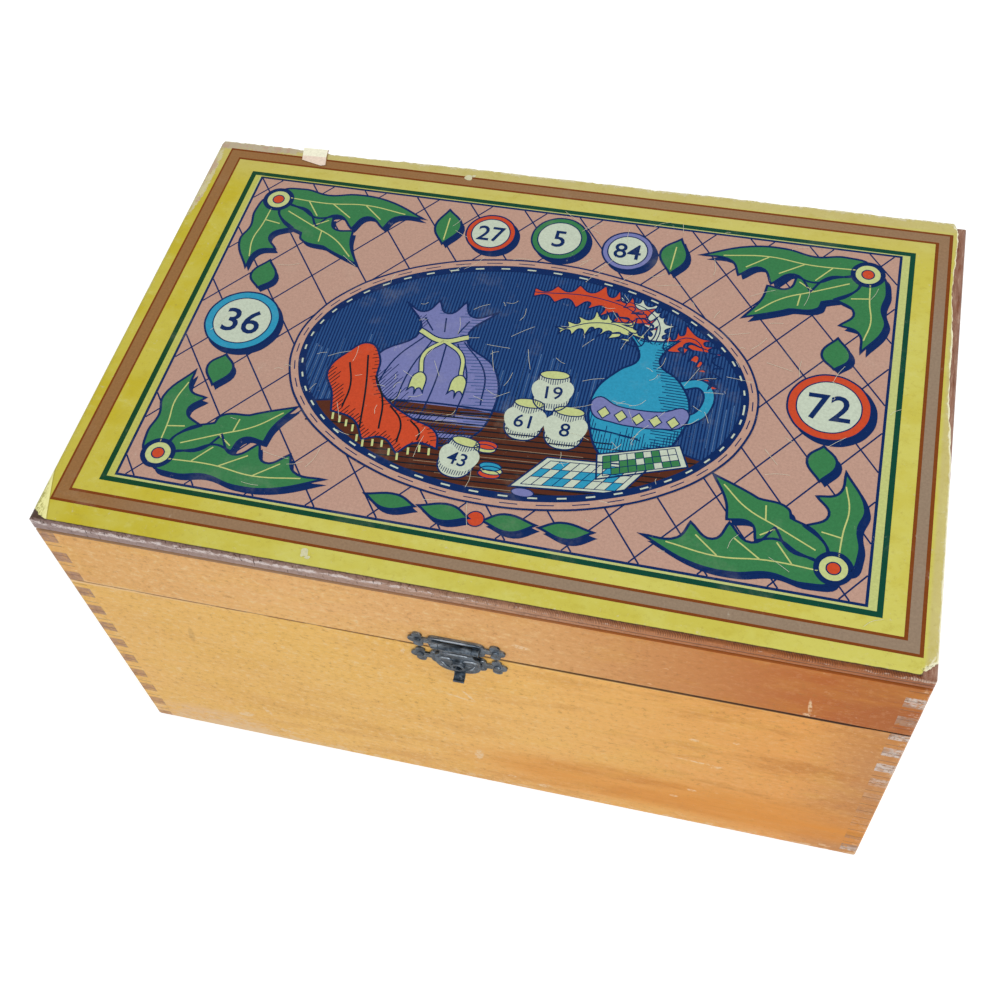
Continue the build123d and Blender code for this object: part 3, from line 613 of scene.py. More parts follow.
BLACKENED_IRON = Metal("blackened_iron", colour=(0.014, 0.023, 0.034), tint=(0.066, 0.094, 0.128),
                       rubbed=(0.52, 0.58, 0.64), metallic=0.7, rough=0.25)
RUBBED_IRON = Metal("rubbed_iron", colour=(0.2, 0.24, 0.28), tint=(0.07, 0.09, 0.12),
                    rubbed=(0.8, 0.84, 0.9), metallic=0.85, rough=0.24)
TARNISHED_BRASS = Metal("tarnished_brass", colour=(0.42, 0.3, 0.12), tint=(0.3, 0.22, 0.1),
                        rubbed=(0.75, 0.62, 0.34), metallic=1.0, rough=0.38)
DULL_STEEL = Metal("dull_steel", colour=(0.28, 0.27, 0.26), tint=(0.2, 0.18, 0.16),
                   rubbed=(0.5, 0.5, 0.5), metallic=1.0, rough=0.42)


@dataclass(frozen=True)
class Paper:
    """Yellow printed paper of the label, stained, and rubbed to white fibre at its rim."""

    yellow: Colour = (0.61, 0.57, 0.118)
    gold: Colour = (0.545, 0.45, 0.024)
    ochre: Colour = (0.56, 0.48, 0.19)
    smear: Pair = ((0.44, 0.36, 0.03), (0.68, 0.66, 0.24))
    stain: Colour = (0.36, 0.27, 0.05)
    rubbed: Pair = ((0.66, 0.6, 0.38), (0.5, 0.42, 0.31))
    backing: Colour = (0.52, 0.34, 0.25)
    fibre: Colour = (0.92, 0.88, 0.62)
    bared: Pair = ((0.9, 0.87, 0.39), (0.34, 0.31, 0.07))
    # painted shadow along the torn edge of the bared corner
    crease: Colour = (0.3, 0.24, 0.04)
    crack: Colour = (0.8, 0.74, 0.5)
    rim: str = "rim"

    def material(self) -> Material:
        """Make the material.

        Returns:
            The material.
        """
        g = Graph("label_paper")
        cloud = g.noise(30.0, 1, 4, 0.65)
        left = g.x.between(-50.0, -120.0)
        g.colour = g.blend(cloud.between(0.44, 0.6) * 0.4 + left * 0.6, self.yellow, self.gold)
        outer = g.most(g.y.between(80.5, 82.0), g.x.between(129.8, 131.4))
        g.paint(g.most(g.y.between(62.0, 80.0) * 0.45, outer * 0.85), self.ochre)
        smear = g.noise((7.0, 5.0, 5.0), 5, 5, 0.75)
        g.paint(smear.between(0.52, 0.7) * 0.3, self.smear[0])
        g.paint(smear.between(0.46, 0.32) * 0.25, self.smear[1])
        g.paint(g.noise(1.6, 2, 5, 0.8).between(0.54, 0.72) * 0.38, self.stain)
        rim = g.attribute(self.rim, "Fac")
        near = rim.between(2.2, 0.0) * g.most(outer, g.x.between(-129.0, -131.5), 0.2)
        bald = g.most(g.mark_flat(-122.0, 84.8, 28.0, 3.6), g.mark_flat(-132.5, 66.0, 2.6, 24.0)) * 0.26
        worn = (g.noise(2.6, 3, 6, 0.82) + near * 0.2 + bald).between(0.6, 0.74)
        g.paint(worn * 0.85, g.blend(g.mark_flat(-122.0, 84.8, 30.0, 5.0), *self.rubbed))
        scar = (g.noise((3.0, 5.0, 3.0), 6, 5, 0.8) + bald * 0.8).between(0.7, 0.78)
        g.paint(scar * 0.7, self.backing)
        bite = rim + g.noise((1.5, 4.0, 1.5), 9, 4, 0.75) * 1.6
        fibre = bite.between(1.75, 1.25) * g.x.between(129.8, 131.4) + bite.between(1.2, 0.8) * outer
        g.paint(fibre * 0.85, self.fibre)
        # the corner at the front left has lost its printed face
        corner = (g.x + CASE_HALF_WIDTH) / 6.3 + (g.y + CASE_HALF_DEPTH) / 21.0
        ruffle = g.noise((1.6, 4.0, 2.0), 7, 4, 0.8)
        dim = g.most(ruffle.between(0.44, 0.58) * corner.between(0.96, 0.7), ruffle.between(0.56, 0.64) * 0.5)
        g.paint((corner < 1.0) * 0.95, g.blend(dim * 0.85, *self.bared))
        # painted shadow: a dark line along the edge of the bared corner
        g.paint(abs(corner - 1.03).between(0.05, 0.01) * 0.5, self.crease)
        crack = abs((g.x - 131.2) * 0.85 - (g.y + 81.6) * 0.45 + g.noise(2.5, 8, 2) * 0.8 - 0.4).between(0.32, 0.1)
        g.paint(crack * g.mark_flat(130.5, -81.5, 4.5, 6.5) * 0.8, self.crack)
        relief = cloud * 0.03 + smear * 0.03 - worn * 0.03 - scar * 0.03
        return g.finish(0.5 + worn * 0.25, relief, Specular_IOR_Level=0.12)


@dataclass(frozen=True)
class Print:
    """Printing ink, its colour held on the mesh, with scratches and rubbed specks."""

    layer: str = "ink"
    browned: Colour = (1.03, 0.7, 0.35)
    yellowed: Colour = (1.0, 0.9, 0.42)
    cloud: Colour = (0.62, 0.58, 0.46)
    speck: Colour = (0.76, 0.74, 0.62)
    rub: Colour = (0.7, 0.68, 0.56)

    def material(self) -> Material:
        """Make the material.

        Returns:
            The material.
        """
        g = Graph("printing_ink")
        g.colour = ink = g.attribute(self.layer, "Color")
        mottle = g.noise(0.8, 1, 3, 0.7)
        g.stain(1.0, mottle * 0.55 + 0.74)
        red = g.split(ink)[0]
        brown = abs(red - Ink.BROWN.value[0]) < 0.01
        hue = g.x.between(60.0, -100.0) + g.most(g.x.between(-90.0, -123.0), g.y.between(30.0, 78.0))
        g.stain(brown * hue * 0.5, self.browned)
        # the label's outer stripes have yellowed, the brown one and the pale chips apart
        border = g.most(g.x < -113.1, g.y < -65.8, g.y > 69.0) * (1.0 - brown) * (red < 0.8)
        g.stain(border * (g.z > TOP_BOARD_HIGH - 2.0) * g.x.between(40.0, -120.0) * 0.75, self.yellowed)
        g.paint(g.noise(16.0, 2, 5, 0.7).between(0.54, 0.78) * 0.1, self.cloud)
        g.paint(g.noise(1.3, 3, 5, 0.9).between(0.685, 0.74) * 0.5, self.speck)
        g.paint(g.noise((4.0, 7.0, 5.0), 4, 6, 0.82).between(0.63, 0.76) * 0.38, self.rub)
        return g.finish(0.4 + mottle * 0.12, mottle * 0.015, Specular_IOR_Level=0.06)


@dataclass(frozen=True)
class CardBoard:
    """Aged grey-cream pasteboard, darker at the cut edges."""

    face: Pair = ((0.7, 0.61, 0.43), (0.52, 0.4, 0.24))
    edge: Pair = ((0.5, 0.4, 0.26), (0.36, 0.28, 0.18))

    def material(self) -> Material:
        """Make the material.

        Returns:
            The material.
        """
        g = Graph("aged_pasteboard")
        stain = g.noise(9.0, 1, 5, 0.7)
        g.colour = g.blend(stain.between(0.45, 0.75) * 0.45, *self.face)
        layers = g.noise((30.0, 30.0, 0.35), 2, 2)
        g.paint(abs(g.normal[2]) < 0.5, g.blend(layers.between(0.35, 0.7), *self.edge))
        return g.finish(0.55 + stain * 0.15, layers * 0.05, Specular_IOR_Level=0.25)


@dataclass(frozen=True)
class TurnedWood:
    """Pale turned wood of the number pieces, each a little different."""

    light: Colour = (0.72, 0.5, 0.26)
    dark: Colour = (0.52, 0.3, 0.12)
    fibre: Colour = (0.42, 0.235, 0.095)
    grime: Colour = (0.3, 0.17, 0.08)
    pitch: float = 18.6
    height: float = 13.0
    layer: float = 13.05

    def material(self) -> Material:
        """Make the material.

        Returns:
            The material.
        """
        g = Graph("turned_wood")
        gloss, _ = g.cells((self.pitch, self.pitch, self.layer), 1)
        fibre = g.noise((1.4, 1.4, 9.0), 2, 3, 0.65)
        tone = g.noise((self.pitch, self.pitch, self.height), 3, 1)
        g.colour = g.blend(tone.between(0.38, 0.64), self.light, self.dark)
        g.paint(fibre.between(0.45, 0.72) * 0.45, self.fibre)
        g.paint(g.noise(5.0, 4, 4, 0.7).between(0.55, 0.75) * 0.35, self.grime)
        return g.finish(0.4 + fibre * 0.15 + gloss * 0.02, fibre * 0.03, Specular_IOR_Level=0.35)


@dataclass(frozen=True)
class StainedCounter:
    """Flat wooden counters, each stack in one of four stains."""

    pitch: float = 16.6
    centre: Point = (42.5, -49.0)
    stains: tuple[Colour, ...] = (
        (0.56, 0.075, 0.03), (0.62, 0.47, 0.06), (0.045, 0.2, 0.085), (0.035, 0.11, 0.33),
    )
    fibre: Colour = (0.1, 0.06, 0.03)
    worn: Colour = (0.66, 0.48, 0.28)
    # keeps the count of columns and rows above nought
    shift: float = 50.0

    def material(self) -> Material:
        """Make the material.

        Returns:
            The material.
        """
        g = Graph("stained_counters")
        # stacks stand in ten columns and two rows, so a cell's corner lies at a whole pitch from the centre
        column = g.math("FLOOR", (g.x - self.centre[0]) / self.pitch + self.shift)
        row = g.math("FLOOR", (g.y - self.centre[1]) / self.pitch + self.shift)
        count = len(self.stains)
        turn = g.math("FRACT", (column + row * 2.0) / float(count) + 0.01)
        g.colour = g.ramp(turn, tuple((k / count, stain) for k, stain in enumerate(self.stains)), steps=True)
        fibre = g.noise((6.0, 0.9, 0.9), 2, 3, 0.65)
        g.paint(fibre.between(0.42, 0.75) * 0.35, self.fibre)
        g.paint(g.noise(3.0, 3, 5, 0.72).between(0.58, 0.7) * 0.45, self.worn)
        return g.finish(0.42 + fibre * 0.12, fibre * 0.03, Specular_IOR_Level=0.35)


@dataclass(frozen=True)
class Linen:
    """Unbleached plain weave, its threads following the cloth."""

    width: float = 120.0
    length: float = 300.0
    warp: Colour = (0.58, 0.46, 0.29)
    weft: Colour = (0.66, 0.54, 0.36)
    slub: Colour = (0.43, 0.34, 0.21)
    sewing: Colour = (0.76, 0.68, 0.52)
    stain: Colour = (0.4, 0.31, 0.19)
    thread: float = 0.62
    stitch: float = 3.2

    def material(self) -> Material:
        """Make the material.

        Returns:
            The material.
        """
        g = Graph("linen")
        flat = Signal(g, g.add("ShaderNodeTexCoord", {}).outputs["UV"])
        place = g.vector("MULTIPLY", flat, (self.width, self.length, 1.0))
        u, v, _ = g.split(place)
        slub_u = g.noise((0.9, 26.0, 1.0), 1, 2, 0.5, place)
        slub_v = g.noise((26.0, 0.9, 1.0), 2, 2, 0.5, place)
        wave_u, wave_v = (g.math("SINE", way * (TAU / (2 * self.thread))) for way in (u, v))
        over = (wave_u * wave_v).between(-0.35, 0.35)
        ridge = abs(wave_u) * over + abs(wave_v) * (1.0 - over)
        g.colour = g.blend(over, self.warp, self.weft)
        g.paint((slub_u + slub_v).between(0.9, 1.35) * 0.5, self.slub)
        hems = [s.between(9.4, 8.9) * s.between(7.9, 8.4) for s in (v, self.length - v)]
        stitch = g.most(*hems) * (u.cycle(self.stitch) > 0.55)
        g.paint(stitch * 0.8, self.sewing)
        g.paint(g.noise(22.0, 3, 4, 0.6, place).between(0.52, 0.75) * 0.3, self.stain)
        relief = ridge * 0.1 + stitch * 0.12 + (slub_u + slub_v) * 0.05
        return g.finish(0.82 + slub_u * 0.08, relief, Sheen_Weight=0.25, Specular_IOR_Level=0.15)


@dataclass(frozen=True)
class Lamp:
    """A soft square lamp, hung in metres and turned to the box."""

    name: str
    place: tuple[float, float, float]
    size: float
    watts: float
    aim: tuple[float, float, float] = (0.0, 0.0, 0.07)

    def hang(self) -> None:
        """Hang the lamp."""
        data = bpy.data.lights.new(self.name, "AREA")
        data.size = self.size
        data.energy = self.watts
        lamp = bpy.data.objects.new(self.name, data)
        lamp.location = self.place
        lamp.rotation_euler = (Vector(self.aim) - Vector(self.place)).to_track_quat("-Z", "Y").to_euler()
        bpy.context.scene.collection.objects.link(lamp)


@dataclass
class Studio:
    """Camera, lamps, floor and surroundings."""

    eye: tuple[float, float, float] = (77.957, -255.298, 461.505)
    turn: tuple[float, float, float] = (33.9303, 4.0312, 13.6656)
    lens: float = 47.0917
    sensor: float = 36.0
    nearest: float = 0.01
    floor_half: float = 3.0
    floor_colour: Colour = (0.63, 0.655, 0.675)
    floor_glow: float = 0.58
    world_light: float = 0.6
    lamps: tuple[Lamp, ...] = (
        Lamp("window_lamp", (0.75, -0.55, 1.05), 0.9, 8.0), Lamp("room_lamp", (-0.9, 0.5, 1.1), 1.1, 2.5),
    )

    def camera(self) -> None:
        """Stand the camera where the photograph was taken from."""
        data = bpy.data.cameras.new("camera")
        data.lens = self.lens
        data.sensor_width = self.sensor
        data.clip_start = self.nearest
        camera = bpy.data.objects.new("camera", data)
        camera.location = Vector(self.eye) * MM
        camera.rotation_euler = Euler([math.radians(a) for a in self.turn], "XYZ")
        bpy.context.scene.collection.objects.link(camera)
        bpy.context.scene.camera = camera

    @staticmethod
    def _white_to_camera(tree: bpy.types.NodeTree) -> bpy.types.NodeSocket:
        """Tell what the camera sees, itself or through gloss and glass.

        Args:
            tree: The node tree to add to.

        Returns:
            An output that is 1 there and 0 elsewhere.
        """
        path = tree.nodes.new("ShaderNodeLightPath")
        total = path.outputs["Is Camera Ray"]
        for name in ("Is Glossy Ray", "Is Transmission Ray"):
            node = tree.nodes.new("ShaderNodeMath")
            node.operation = "MAXIMUM"
            tree.links.new(total, node.inputs[0])
            tree.links.new(path.outputs[name], node.inputs[1])
            total = node.outputs[0]
        return total

    def world(self) -> None:
        """Surround the scene with even light that looks white."""
        world = bpy.data.worlds.new("surroundings")
        world.use_nodes = True
        tree = world.node_tree
        back = tree.nodes["Background"]
        back.inputs["Color"].default_value = WHITE
        strength = tree.nodes.new("ShaderNodeMapRange")
        tree.links.new(self._white_to_camera(tree), strength.inputs["Value"])
        strength.inputs["To Min"].default_value = self.world_light
        strength.inputs["To Max"].default_value = 1.0
        tree.links.new(strength.outputs[0], back.inputs["Strength"])
        bpy.context.scene.world = world

    def floor(self) -> None:
        """Lay the pale floor."""
        mesh = bmesh.new()
        bmesh.ops.create_grid(mesh, x_segments=1, y_segments=1, size=self.floor_half)
        floor = mesh_object("floor", mesh)
        g = Graph("pale_floor")
        glow = Signal(g, self._white_to_camera(g.tree)) * self.floor_glow
        for name, value in (("Base Color", self.floor_colour), ("Roughness", 0.9), ("Emission Color", WHITE),
                            ("Emission Strength", glow)):
            g.feed(g.shader.inputs[name], value)
        floor.data.materials.append(g.material)

    def build(self) -> None:
        """Set up the whole studio."""
        bpy.context.scene.view_settings.view_transform = "Standard"
        self.camera()
        self.world()
        self.floor()
        for lamp in self.lamps:
            lamp.hang()
        LOG.info("studio: camera, floor and %d lamps", len(self.lamps))


def mesh_object(name: str, mesh: BMesh, smooth: bool = False) -> Object:
    """Turn a finished bmesh into an object at the origin.

    Args:
        name: The object's name.
        mesh: The bmesh, which is freed.
        smooth: Whether its faces are shaded smooth.

    Returns:
        The object.
    """
    data = bpy.data.meshes.new(name)
    for face in mesh.faces:
        face.smooth = smooth
    mesh.to_mesh(data)
    mesh.free()
    made = bpy.data.objects.new(name, data)
    bpy.context.scene.collection.objects.link(made)
    return made


class Ink(Enum):
    """The label's printing colours."""

    CHIP = (0.64, 0.64, 0.5)
    SCRAP = (0.93, 0.905, 0.7)
    BLUSH = (0.86, 0.7, 0.57)
    LIME = (0.5, 0.54, 0.19)
    BROWN = (0.285, 0.205, 0.14)
    RUST = (0.2, 0.05, 0.008)
    BOTTLE = (0.003, 0.056, 0.032)
    SALMON = (0.49, 0.3, 0.232)
    GREEN = (0.038, 0.19, 0.068)
    NAVY = (0.002, 0.019, 0.1)
    BLUE = (0.018, 0.07, 0.215)
    SKY = (0.09, 0.17, 0.33)
    ORANGE = (0.56, 0.066, 0.022)
    LILAC = (0.175, 0.19, 0.415)
    TURQUOISE = (0.026, 0.29, 0.46)
    CHESTNUT = (0.085, 0.022, 0.01)
    BLACK = (0.006, 0.008, 0.014)
    CREAM = (0.53, 0.6, 0.48)
    PALE = (0.52, 0.58, 0.24)


@dataclass
class Press:
    """Lays flat shapes of ink over each other in thin layers and joins them into one mesh."""

    floor: float = 141.07
    # height of one layer, and of the roughness that keeps two shapes on one layer apart
    step: float = 0.0215
    unevenness: float = 0.0008
    # the print's own turn on the paper, in degrees
    turn: float = -0.43
    # height of a digit as a share of the font's size
    digit: float = 0.72
    dice: random.Random = field(default_factory=lambda: random.Random(90))
    parts: list[BMesh] = field(default_factory=list)

    def curve(self, loops: Iterable[Path], smooth: bool, closed: bool) -> bpy.types.Curve:
        """Make flat splines.

        Args:
            loops: Lists of points; a point with a third number is a sharp corner.
            smooth: Whether lines bend smoothly through the points.
            closed: Whether each line closes on itself.

        Returns:
            The curve.
        """
        curve = bpy.data.curves.new("outline", "CURVE")
        curve.dimensions = "2D"
        curve.resolution_u = 6
        for loop in loops:
            spline = curve.splines.new("BEZIER" if smooth else "POLY")
            knots = spline.bezier_points if smooth else spline.points
            knots.add(len(loop) - 1)
            for knot, point in zip(knots, loop):
                if smooth:
                    knot.co = (*point[:2], 0.0)
                    knot.handle_left_type = knot.handle_right_type = "VECTOR" if len(point) > 2 else "AUTO"
                else:
                    knot.co = (*point[:2], 0.0, 1.0)
            spline.use_cyclic_u = closed
        return curve

    def stamp(self, curve: bpy.types.Curve, ink: Ink, level: float, shift: Matrix | None = None) -> Edges:
        """Turn a curve into flat faces of one ink on one level.

        Args:
            curve: The curve, which is removed.
            ink: Its colour.
            level: Layer number, counted from the paper.
            shift: Where the curve goes on the label, if its points don't say.

        Returns:
            The pieces of the shape's edge, as pairs of points.
        """
        holder = bpy.data.objects.new("outline", curve)
        bpy.context.scene.collection.objects.link(holder)
        flat = bpy.data.meshes.new_from_object(holder.evaluated_get(bpy.context.evaluated_depsgraph_get()))
        bpy.data.objects.remove(holder)
        bpy.data.curves.remove(curve)
        mesh = bmesh.new()
        mesh.from_mesh(flat)
        bpy.data.meshes.remove(flat)
        if shift is not None:
            bmesh.ops.transform(mesh, matrix=shift, verts=mesh.verts)
        down = [face for face in mesh.faces if face.normal.z < 0]
        bmesh.ops.reverse_faces(mesh, faces=down)
        edges = [tuple(vert.co.xy.copy() for vert in edge.verts) for edge in mesh.edges if edge.is_boundary]
        height = self.floor + level * self.step
        place = Matrix.Translation((0, 0, height)) @ Matrix.Rotation(math.radians(self.turn), 4, "Z")
        for vert in mesh.verts:
            vert.co.z += self.unevenness * self.dice.random()
        bmesh.ops.transform(mesh, matrix=Matrix.Scale(MM, 4) @ place, verts=mesh.verts)
        layer = mesh.loops.layers.float_color.new("ink")
        for face in mesh.faces:
            for loop in face.loops:
                loop[layer] = (*ink.value, 1.0)
        self.parts.append(mesh)
        return edges

    def fill(self, ink: Ink, level: float, *loops: Path, smooth: bool = True) -> Edges:
        """Print a filled shape.

        Args:
            ink: Colour.
            level: Layer number.
            loops: Its outline, and the outlines of its holes.
            smooth: Whether lines bend smoothly through the points.

        Returns:
            The pieces of the shape's edge.
        """
        curve = self.curve(loops, smooth, True)
        curve.fill_mode = "BOTH"
        return self.stamp(curve, ink, level)

    def shape(self, ink: Ink, level: float, *loops: Path, line: float = 0.5, smooth: bool = True) -> Edges:
        """Print a filled shape with a navy line round it, one level up.

        Args:
            ink: Colour of the filling.
            level: Layer number of the filling.
            loops: Its outline, and the outlines of its holes.
            line: Width of the line.
            smooth: Whether lines bend smoothly through the points.

        Returns:
            The pieces of the shape's edge.
        """
        edges = self.fill(ink, level, *loops, smooth=smooth)
        self.stroke(Ink.NAVY, level + 1, *loops, width=line, smooth=smooth, closed=True)
        return edges

    def hatch(
        self, edges: Edges, ink: Ink, level: float, angle: float = 0.0, pitch: float = 0.9, width: float = 0.22,
        share: Point = (0.0, 1.0), ragged: float = 0.0,
    ) -> None:
        """Print parallel lines inside a shape.

        Args:
            edges: The pieces of the shape's edge.
            ink: Colour.
            level: Layer number.
            angle: Direction of the lines, in degrees.
            pitch: Distance between them.
            width: Line width.
            share: The part of each line that is drawn, from 0 at its start to 1 at its end.
            ragged: How unevenly the lines begin and end, as a share of their length.
        """
        turn = Matrix.Rotation(-math.radians(angle), 2)
        back = turn.inverted()
        turned = [(turn @ a, turn @ b) for a, b in edges]
        low = min(min(a.y, b.y) for a, b in turned)
        high = max(max(a.y, b.y) for a, b in turned)
        lines = []
        for row in range(math.ceil(low / pitch), math.floor(high / pitch) + 1):
            level_y = row * pitch + 0.0007
            cuts = sorted(
                a.x + (b.x - a.x) * (level_y - a.y) / (b.y - a.y)
                for a, b in turned if (a.y > level_y) != (b.y > level_y)
            )
            for start, end in zip(cuts[::2], cuts[1::2]):
                off = [ragged * self.dice.uniform(-1, 1) * inside for inside in (share[0] > 0, share[1] < 1)]
                first, last = (start + (end - start) * (part + shift) for part, shift in zip(share, off))
                if last - first > width:
                    lines.append([back @ Vector((first, level_y)), back @ Vector((last, level_y))])
        if lines:
            self.stroke(ink, level, *lines, width=width, smooth=False)

    def number(
        self, text: str, x: float, y: float, height: float, ink: Ink, level: float, angle: float = 0.0,
        bold: float = 0.0,
    ) -> None:
        """Print a plain number.

        Args:
            text: Its digits.
            x: Centre, to the right.
            y: Centre, to the rear.
            height: Height of the digits.
            ink: Colour.
            level: Layer number.
            angle: Turn, in degrees.
            bold: How much every stroke is thickened.
        """
        font = bpy.data.curves.new("number", "FONT")
        font.body = text
        font.size = height / self.digit
        font.align_x = "CENTER"
        font.offset = bold
        font.resolution_u = 3
        turn = Matrix.Rotation(math.radians(angle), 4, "Z")
        shift = Matrix.Translation((x, y, 0)) @ turn @ Matrix.Translation((0, -height / 2, 0))
        self.stamp(font, ink, level, shift)

    def stroke(
        self, ink: Ink, level: float, *loops: Path, width: float = 0.4, smooth: bool = True, closed: bool = False,
    ) -> None:
        """Print lines of an even width.

        Args:
            ink: Colour.
            level: Layer number.
            loops: Lists of points.
            width: Line width.
            smooth: Whether lines bend smoothly through the points.
            closed: Whether each line closes on itself.
        """
        nib_curve = self.curve([[(-width / 2, 0), (width / 2, 0)]], False, False)
        nib = bpy.data.objects.new("nib", nib_curve)
        bpy.context.scene.collection.objects.link(nib)
        curve = self.curve(loops, smooth, closed)
        curve.fill_mode = "NONE"
        curve.bevel_mode = "OBJECT"
        curve.bevel_object = nib
        self.stamp(curve, ink, level)
        bpy.data.objects.remove(nib)
        bpy.data.curves.remove(nib_curve)

    def frame(self, outer: Sequence[float], inner: Sequence[float], ink: Ink, level: float) -> None:
        """Print a band between two rectangles, each given by its left, right, front and rear edge."""
        self.fill(ink, level, rectangle(*outer), rectangle(*inner), smooth=False)

    def publish(self, name: str) -> Object:
        """Join all that was stamped.

        Args:
            name: The object's name.

        Returns:
            The object.
        """
        whole = bmesh.new()
        for part in self.parts:
            data = bpy.data.meshes.new("part")
            part.to_mesh(data)
            part.free()
            whole.from_mesh(data)
            bpy.data.meshes.remove(data)
        self.parts.clear()
        return mesh_object(name, whole)


def rectangle(left: float, right: float, front: float, rear: float) -> list[Point]:
    """Corners of a rectangle."""
    return [(left, front), (right, front), (right, rear), (left, rear)]


def oval(x: float, y: float, half_width: float, half_height: float, count: int = 16) -> list[Point]:
    """Points round an oval."""
    angles = [TAU * k / count for k in range(count)]
    return [(x + half_width * math.cos(a), y + half_height * math.sin(a)) for a in angles]


def moved(points: Path, dx: float, dy: float) -> Path:
    """Points shifted, their corner marks kept."""
    return [(p[0] + dx, p[1] + dy, *p[2:]) for p in points]


@dataclass
class Picture:
    """Made-up picture of a lotto game on a table, in an oval among leaves and numbers."""

    press: Press
    left: float = -112.1
    right: float = 113.9
    front: float = -64.8
    rear: float = 68.0
    oval_x: float = 1.0
    oval_y: float = -4.5
    oval_half_width: float = 73.0
    oval_half_height: float = 47.0
    shadow: Point = (1.7, -1.8)
    trellis: float = 15.5
    # leaves of the rear right corner, inward from it: each an outline and its veins
    corner_leaves: tuple[tuple[Path, tuple[Path, ...]], ...] = (
        (((9, 6), (17, 3), (27, 4.5), (37, 2.5), (49, 3.5), (64, 10, 1), (54, 11), (51, 17, 1), (44, 12.5),
          (40, 19, 1), (33, 13.5), (27, 20, 1), (22, 13), (14, 11)),
         (((13, 8), (28, 8.5), (42, 7), (57, 9)), ((30, 8.4), (38, 14)), ((42, 7.2), (49, 13)),
          ((21, 8.6), (26, 15)))),
        (((6, 9), (3, 16), (4, 24), (2.5, 31), (9, 43, 1), (10.5, 35), (16.5, 33, 1), (12.5, 27), (19, 22, 1),
          (12.5, 17), (11, 13)),
         (((8.5, 12), (8, 22), (7, 30), (8.6, 38)), ((8, 20), (14, 21)))),
        (((12, 12), (15, 20), (23, 24, 1), (24, 27), (33, 29, 1), (36, 30.5), (47, 35, 1), (42, 26), (41, 20, 1),
          (34, 20), (32, 14.5, 1), (26, 16), (19, 12.5)),
         (((15, 14.5), (26, 20), (36, 25), (43.5, 32)), ((26, 20), (31, 16.5)), ((30, 22), (30.5, 27)))),
    )

    def ground(self) -> None:
        """Print the pink ground with its navy trellis."""
        whole = rectangle(self.left, self.right, self.front, self.rear)
        edges = self.press.fill(Ink.SALMON, 1, whole, smooth=False)
        for level, angle in ((2, 52.0), (2.3, -52.0)):
            self.press.hatch(edges, Ink.NAVY, level, angle, self.trellis, 0.52)

    def green(self, points: Path, veins: Sequence[Sequence[Point]] = ()) -> None:
        """Print a bold green leaf with its navy line, shadow and pale veins.

        Args:
            points: The leaf's outline.
            veins: Lines of points.
        """
        self.press.fill(Ink.NAVY, 3, moved(points, *self.shadow))
        self.press.shape(Ink.GREEN, 4, points, line=0.8)
        if veins:
            self.press.stroke(Ink.LIME, 5, *veins, width=0.45)

    def corner(self, side: int, end: int) -> None:
        """Print three leaves springing from one corner of the picture.

        Args:
            side: -1 for the left, 1 for the right.
            end: -1 for the front, 1 for the rear.
        """
        middle_x = (self.left + self.right) / 2
        middle_y = (self.front + self.rear) / 2
        half_x = (self.right - self.left) / 2
        half_y = (self.rear - self.front) / 2

        def place(points: Path) -> Path:
            """Points given inward from the corner, in label places."""
            return [(middle_x + side * (half_x - p[0]), middle_y + end * (half_y - p[1]), *p[2:]) for p in points]

        for outline, veins in self.corner_leaves:
            self.green(place(outline), [place(vein) for vein in veins])
        x, y = place([(9.5, 9.5)])[0]
        for level, (radius, ink) in enumerate(((5.4, Ink.NAVY), (4.2, Ink.PALE), (2.0, Ink.ORANGE)), 5):
            self.press.shape(ink, level, oval(x, y, radius, radius, 8), line=0.4)

    def disc(self, text: str, x: float, y: float, radius: float, ring: Ink) -> None:
        """Print a numbered counter.

        Args:
            text: Its number.
            x: Centre, to the right.
            y: Centre, to the rear.
            radius: Its radius.
            ring: Colour of its rim.
        """
        shade = oval(x + self.shadow[0], y + self.shadow[1], radius + 0.3, radius + 0.3, 12)
        self.press.fill(Ink.NAVY, 3, shade)
        self.press.shape(ring, 4, oval(x, y, radius, radius, 12), line=0.6)
        self.press.shape(Ink.CREAM, 5, oval(x, y, radius * 0.78, radius * 0.78, 12), line=0.4)
        self.press.number(text, x, y, radius * 0.8, Ink.NAVY, 7, bold=radius * 0.012)

    def numbers(self) -> None:
        """Print the counters and the small leaves between the corners."""
        middle, height = self.oval_x, 1.6
        for text, x, y, radius, ring in (
            ("27", -23.0, 55.3, 8.6, Ink.ORANGE), ("5", 1.0, 57.0, 9.6, Ink.GREEN),
            ("84", 25.0, 55.3, 8.6, Ink.LILAC), ("36", -95.5, height, 12.6, Ink.TURQUOISE),
            ("72", 97.5, height, 12.6, Ink.ORANGE),
        ):
            self.disc(text, x, y, radius, ring)
        for side in (-1, 1):
            for reach, y, lean in ((10.0, -59.5, 3.5), (27.0, -58.6, 3.0)):
                x = middle + side * reach
                self.green([(x - side * 8, y, 1), (x - side * 2, y + lean), (x + side * 8, y + 1.5, 1),
                            (x + side * 1, y - 2.4)])
            x = middle + side * 39.5
            self.green([(x, 47.5, 1), (x + side * 4.5, 55), (x + side * 1.5, 64, 1), (x - side * 4.5, 57)],
                       [[(x, 49.5), (x + side * 0.4, 60)]])
            for up in (-1, 1):
                x, y = side * 96.5 + middle, height + up * 18.5
                self.green([(x, y - up * 3.5, 1), (x + 4.4, y + up * 2), (x, y + up * 9.5, 1),
                            (x - 4.4, y + up * 2)])
        self.press.shape(Ink.ORANGE, 5, oval(middle, -59.3, 2.6, 2.6, 8), line=0.4)

